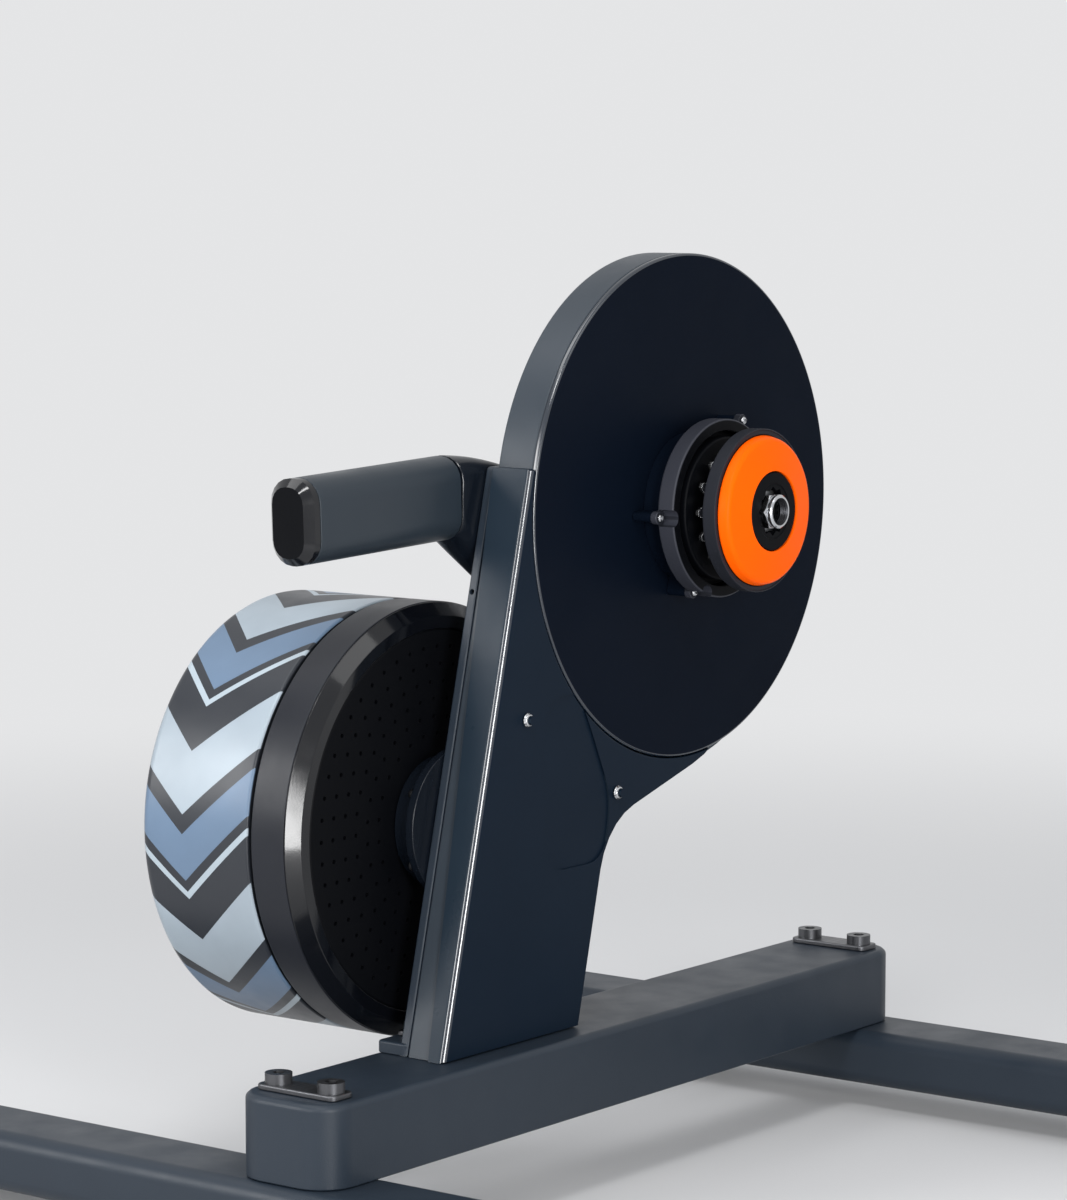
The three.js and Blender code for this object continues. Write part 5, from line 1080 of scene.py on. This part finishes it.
def flywheel():
    low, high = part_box("flywheel")
    radius, rim, web, round_edge, hub = FLYWHEEL_RADIUS, 0.007, 0.008, 0.005, 0.020
    web_back, rim_start = high.y - round_edge, FACE_Y + 0.075
    groove_outer, groove_inner, groove_depth, slope = 0.040, 0.028, 0.0012, 0.002
    groove_floor = web_back - groove_depth
    profile = [
        (AXLE_BORE, low.y, EASED), (hub, low.y, ROUNDED), (hub, web_back - web, 0.003),
        (radius - rim, web_back - web, 0.003), (radius - rim, rim_start, SOFT),
        (radius, rim_start, 0.0014), (radius, high.y, 0.0062), (radius - 2 * rim, high.y, 0.002),
        (radius - 3 * rim, web_back, 0.004), (groove_outer, web_back, 0.001),
        (groove_outer - slope, groove_floor, 0.001), (groove_inner + slope, groove_floor, 0.001),
        (groove_inner, web_back, 0.001), (AXLE_BORE, web_back, EASED),
    ]
    drum = turned_ring("drum", profile, AT_SHAFT, 192)
    hole_reach, hole_radius, hole_depth = 0.064, 0.0085, 0.003
    holes = [(place, hole_radius) for place in places_round(AT_SHAFT, hole_reach, 8, 22.5)]
    drill(drum, holes, web_back - hole_depth, web_back + OVERRUN)
    dress(drum, "flywheel", "flywheel_paint", drum_material, "flywheel")
    nut_length, nut_radius = 0.0042, 0.0125
    outline = hexagon(nut_radius, (SHAFT.x, SHAFT.z))
    nut = slab("shaft_nut", outline, web_back, web_back + nut_length, 0.0002, ROUNDED)
    dress(nut, "flywheel", "bright_steel", steel_material)


flywheel()


def brake_cover():
    """A band, a gloss bevel and a perforated face, as three pieces with seams."""
    low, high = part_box("brake_cover")
    radius, face_radius = FLYWHEEL_RADIUS, FLYWHEEL_RADIUS * 0.935
    shoulder, wall, bore, seam, lip = 0.0053, 0.0025, 0.0243, 0.0002, 0.006
    rim_y, inner = low.y + shoulder, radius - wall
    profile = [(inner, rim_y + seam, CRISP), (radius, rim_y + seam, EASED)]
    profile += [(radius, high.y, 0.0007), (inner, high.y, CRISP)]
    band = turned_ring("cover_band", profile, AT_SHAFT, 192)
    dress(band, "frame", "gloss_plastic", ring_material, "brake_cover")
    profile = [
        (face_radius - lip, low.y, CRISP), (face_radius, low.y, ROUNDED),
        (radius - EASED, rim_y - EASED, 0.0005), (radius - EASED, rim_y, 0.0002),
        (inner, rim_y, CRISP), (face_radius - wall / 2, low.y + wall, 0.001),
        (face_radius - lip, low.y + wall, CRISP),
    ]
    bevel = turned_ring("cover_bevel", profile, AT_SHAFT, 192)
    dress(bevel, "frame", "gloss_plastic", gloss_material)
    rim, set_back = face_radius - lip - seam, 0.0004
    profile = [
        (bore, low.y + set_back, EASED), (rim - 0.0010, low.y + set_back, SOFT),
        (rim, low.y + 3 * set_back, EASED), (rim, low.y + wall, CRISP), (bore, low.y + wall, EASED),
    ]
    face = turned_ring("cover_face", profile, AT_SHAFT, 192)
    spacing, hole, first_row, row_step = 0.0105, 0.0012, 0.043, 0.0086
    holes = []
    for row in range(6):
        reach = first_row + row * row_step
        count = int(2 * math.pi * reach / spacing)
        holes += [(place, hole) for place in places_round(AT_SHAFT, reach, count, 180 * (row % 2) / count)]
    drill(face, holes, low.y - OVERRUN, low.y + wall + OVERRUN, 10)
    dress(face, "frame", "gloss_plastic", mesh_material)


brake_cover()

# Carry handle: a sleeve on a cast bracket, closed by a gloss cap

HANDLE_DROOP = math.radians(2.3)
HANDLE_WIDTH, HANDLE_HEIGHT, HANDLE_CORNER, HANDLE_WALL = 0.0267, 0.0415, 0.012, 0.003
GRIP_LENGTH = 0.106
HANDLE_START = Vector((AXLE.x - 0.146, FACE_Y + 0.0445, AXLE.z + 0.0114))
HANDLE_PLACE = Matrix.Translation(HANDLE_START) @ Matrix.Rotation(-HANDLE_DROOP, 4, "Y")
HOLLOW = (HANDLE_WIDTH - 2 * HANDLE_WALL, HANDLE_HEIGHT - 2 * HANDLE_WALL, HANDLE_CORNER - HANDLE_WALL)
TONGUE = (HOLLOW[0] - 2 * SEAM, HOLLOW[1] - 2 * SEAM, HOLLOW[2] - SEAM)
BRACKET_BOLTS = ("bracket_bolt_upper", "bracket_bolt_lower")
BOLT_HEAD = 0.0034


def bar(name, width, height, corner, levels):
    """A rounded bar along the handle, its levels given from the grip's start outwards."""
    section = rounded_rectangle((0, 0), width, height, corner)
    return layers(name, section, levels, lambda a, b, h: (-h, a, b))


def handle():
    ends = edge_levels(0, GRIP_LENGTH, SOFT, SOFT)
    sleeve = bar("grip_sleeve", HANDLE_WIDTH, HANDLE_HEIGHT, HANDLE_CORNER, ends)
    cut(sleeve, bar("hollow", *HOLLOW, [(-OVERRUN, 0), (GRIP_LENGTH + OVERRUN, 0)]))
    move(sleeve, HANDLE_PLACE)
    dress(sleeve, "frame", "grip_grey", grip_material, "handle_grip")
    start, length, chamfer, tongue_length = GRIP_LENGTH + SEAM, 0.008, 0.0038, 0.012
    levels = [(start, EASED), (start + EASED, 0), (start + length - chamfer, 0), (start + length, chamfer)]
    cap = bar("grip_cap", HANDLE_WIDTH, HANDLE_HEIGHT, HANDLE_CORNER, levels)
    weld(cap, bar("tongue", *TONGUE, [(GRIP_LENGTH - tongue_length, 0), (start + 0.001, 0)]))
    move(cap, HANDLE_PLACE)
    dress(cap, "frame", "gloss_plastic", gloss_material, "handle_end_cap")
    recolour(cap, (grip_cap_material, lambda spot, normal: normal.x < -0.95))


handle()


def bracket():
    """An elbow from the sleeve's end to the frame plate, as sections across X from rear to front."""
    low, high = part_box("handle_bracket")
    rear = HANDLE_START.x + HANDLE_HEIGHT / 2 * math.sin(HANDLE_DROOP) + SEAM
    top, bottom = HANDLE_START.z + HANDLE_HEIGHT / 2, HANDLE_START.z - HANDLE_HEIGHT / 2
    top_fall, top_bend = 0.0095, 1.8
    gusset, gusset_share, gusset_bend = 0.0215, 0.52, 1.15
    pad, start_inset, end_corner = 0.006, 0.0012, 0.0029
    steps, face_round = 28, 0.0012
    sections = []
    for i in range(steps + 1):
        share = i / steps
        ease = share * share * (3 - 2 * share)
        near = low.y + start_inset * max(1 - 3 * share, 0)
        far = high.y - (high.y - low.y - pad) * ease
        upper = top - top_fall * share**top_bend
        lower = max(bottom - gusset * min(share / gusset_share, 1) ** gusset_bend, low.z)
        corner = HANDLE_CORNER + (end_corner - HANDLE_CORNER) * ease
        centre = ((near + far) / 2, (upper + lower) / 2)
        outline = rounded_rectangle(centre, far - near, upper - lower, corner)
        x = rear + (high.x - rear) * share
        if i == 0:
            sections.append((x, inset(outline, face_round / 4)))
            x += face_round / 4
        if i == steps:
            sections.append((x - face_round, outline))
            outline = inset(outline, face_round)
        sections.append((x, outline))
    elbow = loft("bracket_casting", sections, along_x)
    plug_length = 0.05
    weld(elbow, move(bar("plug", *TONGUE, [(-HANDLE_CORNER, 0), (plug_length, 0)]), HANDLE_PLACE))
    bore, recess, start, end = 0.0033, 0.0064, low.y - OVERRUN, high.y + OVERRUN
    for which in BRACKET_BOLTS:
        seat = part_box(which)[1].y - BOLT_HEAD
        stepped = [(0, start), (bore, start), (bore, seat), (recess, seat), (recess, end), (0, end)]
        cut(elbow, spindle("bore", stepped, axis_of(which)))
    dress(elbow, "frame", "frame_paint", cast_material, "handle_bracket")


bracket()


def long_bolt(replaced):
    """A bolt along Y whose socket head faces +Y."""
    low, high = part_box(replaced)
    x, _, z = axis_of(replaced)
    seat, shank_radius, overlap = high.y - BOLT_HEAD, 0.003, 0.0005
    bolt = rod(replaced + "_fine", shank_radius, low.y, seat + overlap, (x, 0, z), 24)
    weld(bolt, bolt_head((high.x - low.x) / 2, BOLT_HEAD, (x, seat, z)))
    dress(bolt, "frame", "dark_steel", dark_steel_material, replaced)


for which in BRACKET_BOLTS:
    long_bolt(which)

# Base: beam, two legs, their caps, bolts and feet

BEAM_LEFT = middle("base_beam").y
LEG_BOLT_SPREAD = 0.016
LEG_BOLT_HOLE = 0.0043


def upright_holes(holes, start, end):
    """Cutters for round holes along Z: holes are (x, y, radius)."""
    return [slab("hole", circle((x, y), radius, 24), start, end, place=along_z) for x, y, radius in holes]


def bolt_pair(x):
    return [(x, BEAM_LEFT + side * LEG_BOLT_SPREAD, LEG_BOLT_HOLE) for side in (-1, 1)]


def base_beam():
    low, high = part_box("base_beam")
    centre = ((low.x + high.x) / 2, (low.y + high.y) / 2)
    width, depth, wall, corner, top_round = high.x - low.x, high.y - low.y, 0.003, 0.018, 0.0035
    outline = rounded_rectangle(centre, width, depth, corner)
    beam = slab("cross_beam", outline, low.z, high.z, ROUNDED, top_round, along_z)
    inside = rounded_rectangle(centre, width - 2 * wall, depth - 2 * wall, corner - wall)
    cut(beam, slab("inside", inside, low.z - OVERRUN, high.z - wall, place=along_z))
    holes = [*bolt_pair(middle("front_leg_bolts").x), *bolt_pair(middle("rear_leg_bolts").x)]
    low_bolt, high_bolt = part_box("frame_foot_bolts")
    half_head, foot_bolt_hole, reach = 0.005, 0.0033, 0.01
    foot_y = (low_bolt.y + high_bolt.y) / 2
    holes += [(x, foot_y, foot_bolt_hole) for x in (low_bolt.x + half_head, high_bolt.x - half_head)]
    cut(beam, gather("holes", upright_holes(holes, high.z - reach, high.z + OVERRUN)))
    dress(beam, "frame", "frame_paint", frame_material, "base_beam")


base_beam()


def leg_cap(which, hand, section, plug_section, tube_end):
    """A moulded cap with a domed end, made on the left and mirrored for the right."""
    node_name = f"{which}_leg_cap_{hand}"
    low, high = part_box(node_name)
    start, end = tube_end + SEAM, high.y if hand == "left" else -low.y
    edge, dome, dome_inset, steps = 0.0005, 0.007, 0.0055, 8
    plug_length, plug_round = 0.012, 0.001
    levels = [(start, edge), (start + edge, 0)]
    for i in range(steps + 1):
        angle = math.pi / 2 * i / steps
        levels.append((end - dome + dome * math.sin(angle), dome_inset * (1 - math.cos(angle))))
    cap = layers(f"{which}_{hand}_end", section, levels)
    weld(cap, slab("plug", plug_section, tube_end - plug_length, start + plug_round, plug_round))
    if hand == "right":
        move(cap, Matrix.Scale(-1, 4, (0, 1, 0)))
        cap.data.flip_normals()
    dress(cap, "frame", "black_plastic", guard_material, node_name)


def leg(which):
    low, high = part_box(which + "_leg")
    centre = ((low.x + high.x) / 2, (low.z + high.z) / 2)
    width, height, corner, wall = high.x - low.x, high.z - low.z, 0.008, 0.0025
    stud_reach, stud_hole, reach = 0.258, 0.0053, 0.005
    section = rounded_rectangle(centre, width, height, corner)
    tube = slab(which + "_tube", section, low.y, high.y, CRISP, CRISP)
    inner_width, inner_height, inner_corner = width - 2 * wall, height - 2 * wall, corner - wall
    hollow = rounded_rectangle(centre, inner_width, inner_height, inner_corner)
    cut(tube, slab("hollow", hollow, low.y - OVERRUN, high.y + OVERRUN))
    cutters = upright_holes(bolt_pair(centre[0]), high.z - reach, high.z + OVERRUN)
    studs = [(centre[0], side * stud_reach, stud_hole) for side in (-1, 1)]
    cutters += upright_holes(studs, low.z - OVERRUN, low.z + reach)
    cut(tube, gather("holes", cutters))
    dress(tube, "frame", "frame_paint", frame_material, which + "_leg")
    plug = rounded_rectangle(centre, inner_width - 2 * SEAM, inner_height - 2 * SEAM, inner_corner)
    for hand in ("left", "right"):
        leg_cap(which, hand, section, plug, high.y)


for which in ("front", "rear"):
    leg(which)


def bolt_strap(which, head_height, socket, shank_radius):
    """Two socket head bolts on a flat strap that runs along its longer side."""
    low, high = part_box(which)
    length, width, thickness, margin = high.x - low.x, high.y - low.y, 0.0025, 0.0015
    head, spread = min(length, width), abs(length - width) / 2
    step_x, step_y = (spread, 0) if length > width else (0, spread)
    base = high.z - thickness - head_height
    x, y = (low.x + high.x) / 2, (low.y + high.y) / 2
    plan = rounded_rectangle((x, y), length, width, head / 4)
    strap = slab(which + "_strap", plan, base, base + thickness, CRISP, ROUNDED, along_z)
    for side in (-1, 1):
        bolt = rod("head", head / 2 - margin, base + 0.001, high.z, steps=40)
        cut(bolt, slab("socket", hexagon(socket), high.z - head_height / 2, high.z + OVERRUN))
        weld(bolt, rod("shank", shank_radius, low.z, base + 0.002, steps=24))
        weld(strap, stand(bolt, x + side * step_x, y + side * step_y))
    dress(strap, "frame", "dark_steel", dark_steel_material, which)


bolt_strap("front_leg_bolts", 0.005, 0.0032, 0.004)
bolt_strap("rear_leg_bolts", 0.005, 0.0032, 0.004)
bolt_strap("frame_foot_bolts", 0.004, 0.0025, 0.003)


def rubber_foot(hand):
    name = f"front_foot_{hand}"
    low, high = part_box(name)
    place = middle(name)
    radius, post, groove, shoulder_z = 0.022, 0.005, 0.0008, 0.0137
    profile = [
        (0, low.z), (0.012, low.z), (0.0125, low.z + groove), (0.0145, low.z + groove),
        (0.015, low.z), (radius - 0.0015, low.z), (radius, low.z + 0.0015), (radius, low.z + 0.003),
        (0.0187, shoulder_z - FULL), (0.0175, shoulder_z), (post, shoulder_z), (post, high.z),
        (0, high.z),
    ]
    foot = stand(spindle(f"rubber_foot_{hand}", profile, steps=64), place.x, place.y)
    dress(foot, "frame", "rubber", rubber_material, name)


def level_foot(hand):
    """A round pad with finger notches, screwed on its stud."""
    name = f"level_foot_{hand}"
    low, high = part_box(name)
    place = middle(name)
    radius, socket, socket_depth, foot_edge, top_edge = 0.023, 0.0043, 0.005, 0.0025, 0.0012
    profile = [
        (0, low.z), (radius - foot_edge, low.z), (radius, low.z + 0.0022),
        (radius, high.z - 0.0015), (radius - top_edge, high.z), (socket, high.z),
        (socket, high.z - socket_depth), (0, high.z - socket_depth),
    ]
    foot = spindle(f"level_pad_{hand}", profile, steps=96)
    notch, notch_reach = 0.003, 0.0245
    notches = [(spot, notch) for spot in places_round(ORIGIN, notch_reach, 12, 15)]
    drill(foot, notches, low.z + 0.002, high.z + OVERRUN, 24)
    dress(stand(foot, place.x, place.y), name, "rubber", rubber_material, name)


def level_stud(hand):
    """A threaded stud with a nut-like flange low on it."""
    name = f"level_stud_{hand}"
    low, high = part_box(name)
    place = middle(f"level_foot_{hand}")
    root, crest, neck, flange, edge, thickness = 0.0043, 0.005, 0.004, 0.009, 0.0006, 0.0035
    pitch, thread_length = 0.0015, 0.0243
    top = high.z - thread_length
    profile = [
        (0, low.z), (neck, low.z), (neck, top - thickness), (flange - edge, top - thickness),
        (flange, top - thickness + edge), (flange, top - edge), (flange - edge, top), (crest, top),
    ]
    for i in range(int((thread_length - 0.002) / pitch)):
        start = top + 0.001 + i * pitch
        profile += [(crest, start), (root, start + pitch * 0.45), (crest, start + pitch * 0.9)]
    profile += [(crest, high.z - edge), (crest - edge, high.z), (0, high.z)]
    stud = stand(spindle(f"threaded_stud_{hand}", profile, steps=32), place.x, place.y)
    dress(stud, name, "bright_steel", steel_material, name)


for hand in ("left", "right"):
    rubber_foot(hand)
    level_foot(hand)
    level_stud(hand)


def power_socket():
    low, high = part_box("power_socket")
    radius, opening, depth, pin, pin_depth = 0.0055, 0.0041, 0.009, 0.0011, 0.0012
    profile = [
        (0, low.y), (radius, low.y), (radius, high.y - EASED), (radius - EASED, high.y),
        (opening, high.y), (opening, high.y - depth), (pin, high.y - depth),
        (pin, high.y - pin_depth - SOFT), (pin * 0.6, high.y - pin_depth), (0, high.y - pin_depth),
    ]
    barrel = spindle("socket_barrel", profile, axis_of("power_socket"))
    dress(barrel, "frame", "black_plastic", guard_material, "power_socket")


power_socket()

# Inner pieces keep their CAD shapes and get real surfaces

for names, material in (
    (("drive_pulley", "tension_arm", "freehub_body"), aluminium_material),
    (("pulley_bearing_front", "pulley_bearing_rear"), steel_material),
    (("shaft_bearing_front", "shaft_bearing_rear"), steel_material),
    (("axle", "flywheel_shaft", "pivot_pin", "tension_spring"), steel_material),
    (("small_pulley", "brake_core"), dark_steel_material),
    (("drive_belt",), rubber_material),
    (("idler_pulley",), guard_material),
    (("brake_coil",), copper_material),
    (("circuit_board",), board_material),
):
    for name in names:
        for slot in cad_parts[name].material_slots:
            slot.material = material

# Camera

CAMERA_PLACE = (-1.6116, -1.1890, 0.5105)
CAMERA_DOWN = 6.12
CAMERA_TURN = -52.68

camera_data = bpy.data.cameras.new("camera")
camera_data.lens = 120
camera_data.sensor_fit = "VERTICAL"
camera_data.sensor_height = 36
camera = bpy.data.objects.new("camera", camera_data)
camera.location = CAMERA_PLACE
camera.rotation_euler = (math.radians(90 - CAMERA_DOWN), 0, math.radians(CAMERA_TURN))
bpy.context.scene.collection.objects.link(camera)
bpy.context.scene.camera = camera

# Soft studio light: place, target, width, height, and power in watts

LIGHTS = {
    "rear_light": ((-1.70, 1.35, 0.85), (-0.05, 0, 0.25), 0.9, 0.9, 20),
    "left_light": ((-2.20, 0.00, 0.75), (-0.05, 0, 0.28), 0.8, 0.8, 16),
    "panel_light": ((0.21, -1.15, 1.26), (-0.09, 0, 0.25), 0.6, 0.6, 2),
    "strip_light": ((-0.62, -0.86, 0.26), (-0.15, 0, 0.22), 0.12, 0.5, 4),
    "bend_light": ((-1.45, -1.85, 0.70), (-0.10, 0, 0.30), 0.25, 0.9, 20),
    "key_light": ((-1.20, -0.62, 1.95), (-0.20, 0, 0.36), 0.45, 0.45, 14),
    "top_light": ((-0.50, 0.60, 2.10), (0, 0, 0.30), 1.2, 1.2, 12),
}

for name, (place, target, width, height, power) in LIGHTS.items():
    light = bpy.data.lights.new(name, "AREA")
    light.shape = "RECTANGLE"
    light.size = width
    light.size_y = height
    light.energy = power
    lamp = bpy.data.objects.new(name, light)
    lamp.location = place
    toward = Vector(target) - Vector(place)
    lamp.rotation_euler = toward.to_track_quat("-Z", "Y").to_euler()
    bpy.context.scene.collection.objects.link(lamp)

# A plain pale floor that runs into a plain backdrop

BACKDROP = (0.78, 0.785, 0.795, 1)
SURROUND = (0.80, 0.82, 0.85, 1)
SURROUND_STRENGTH = 0.62
FLOOR_TONE = (0.63, 0.63, 0.635)
FLOOR_DARKER = (0.62, 0.62, 0.625)
FLOOR_LIGHTER = (0.64, 0.64, 0.645)
FLOOR_FADE = (0.5, 1.8)  # distances between which the floor turns into the backdrop
FLOOR_SIZE = 60


def seen(tree):
    """1 where the camera, a reflection or glass looks at the backdrop, 0 for the light it gives."""
    path = node(tree, "ShaderNodeLightPath")
    total = path.outputs["Is Camera Ray"]
    for kind in ("Is Glossy Ray", "Is Transmission Ray"):
        total = calculate(tree, "MAXIMUM", total, path.outputs[kind])
    return total


def mix_shaders(tree, factor, first, second, output):
    mixed = node(tree, "ShaderNodeMixShader")
    for socket, source in zip(mixed.inputs, (factor, first, second)):
        tree.links.new(source, socket)
    tree.links.new(mixed.outputs[0], tree.nodes[output].inputs["Surface"])


def studio_world():
    world = bpy.data.worlds.new("studio")
    bpy.context.scene.world = world
    world.use_nodes = True
    tree = world.node_tree
    surround = tree.nodes["Background"]
    surround.inputs["Color"].default_value = SURROUND
    surround.inputs["Strength"].default_value = SURROUND_STRENGTH
    backdrop = node(tree, "ShaderNodeBackground")
    backdrop.inputs["Color"].default_value = BACKDROP
    mix_shaders(tree, seen(tree), surround.outputs[0], backdrop.outputs[0], "World Output")


def floor_material():
    material, tree, main = shader("studio_floor", FLOOR_TONE, 0.6, shine=0.1)
    tone = blend_colors(tree, noise(tree, 2.0, 3.0), FLOOR_DARKER, FLOOR_LIGHTER)
    tree.links.new(tone, main.inputs["Base Color"])
    reach = node(tree, "ShaderNodeVectorMath", operation="LENGTH")
    tree.links.new(coordinates(tree), reach.inputs[0])
    fade = ramp(tree, reach.outputs["Value"], 0.0, 1.0, *FLOOR_FADE)
    fade.node.interpolation_type = "SMOOTHSTEP"
    glow = node(tree, "ShaderNodeEmission")
    glow.inputs["Color"].default_value = BACKDROP
    factor = calculate(tree, "MULTIPLY", fade, seen(tree))
    mix_shaders(tree, factor, main.outputs[0], glow.outputs[0], "Material Output")
    return material


studio_world()
grid = bmesh.new()
bmesh.ops.create_grid(grid, x_segments=2, y_segments=2, size=FLOOR_SIZE)
floor = new_object("floor", grid)
floor.data.materials.append(floor_material())

bpy.context.scene.view_settings.view_transform = "Standard"
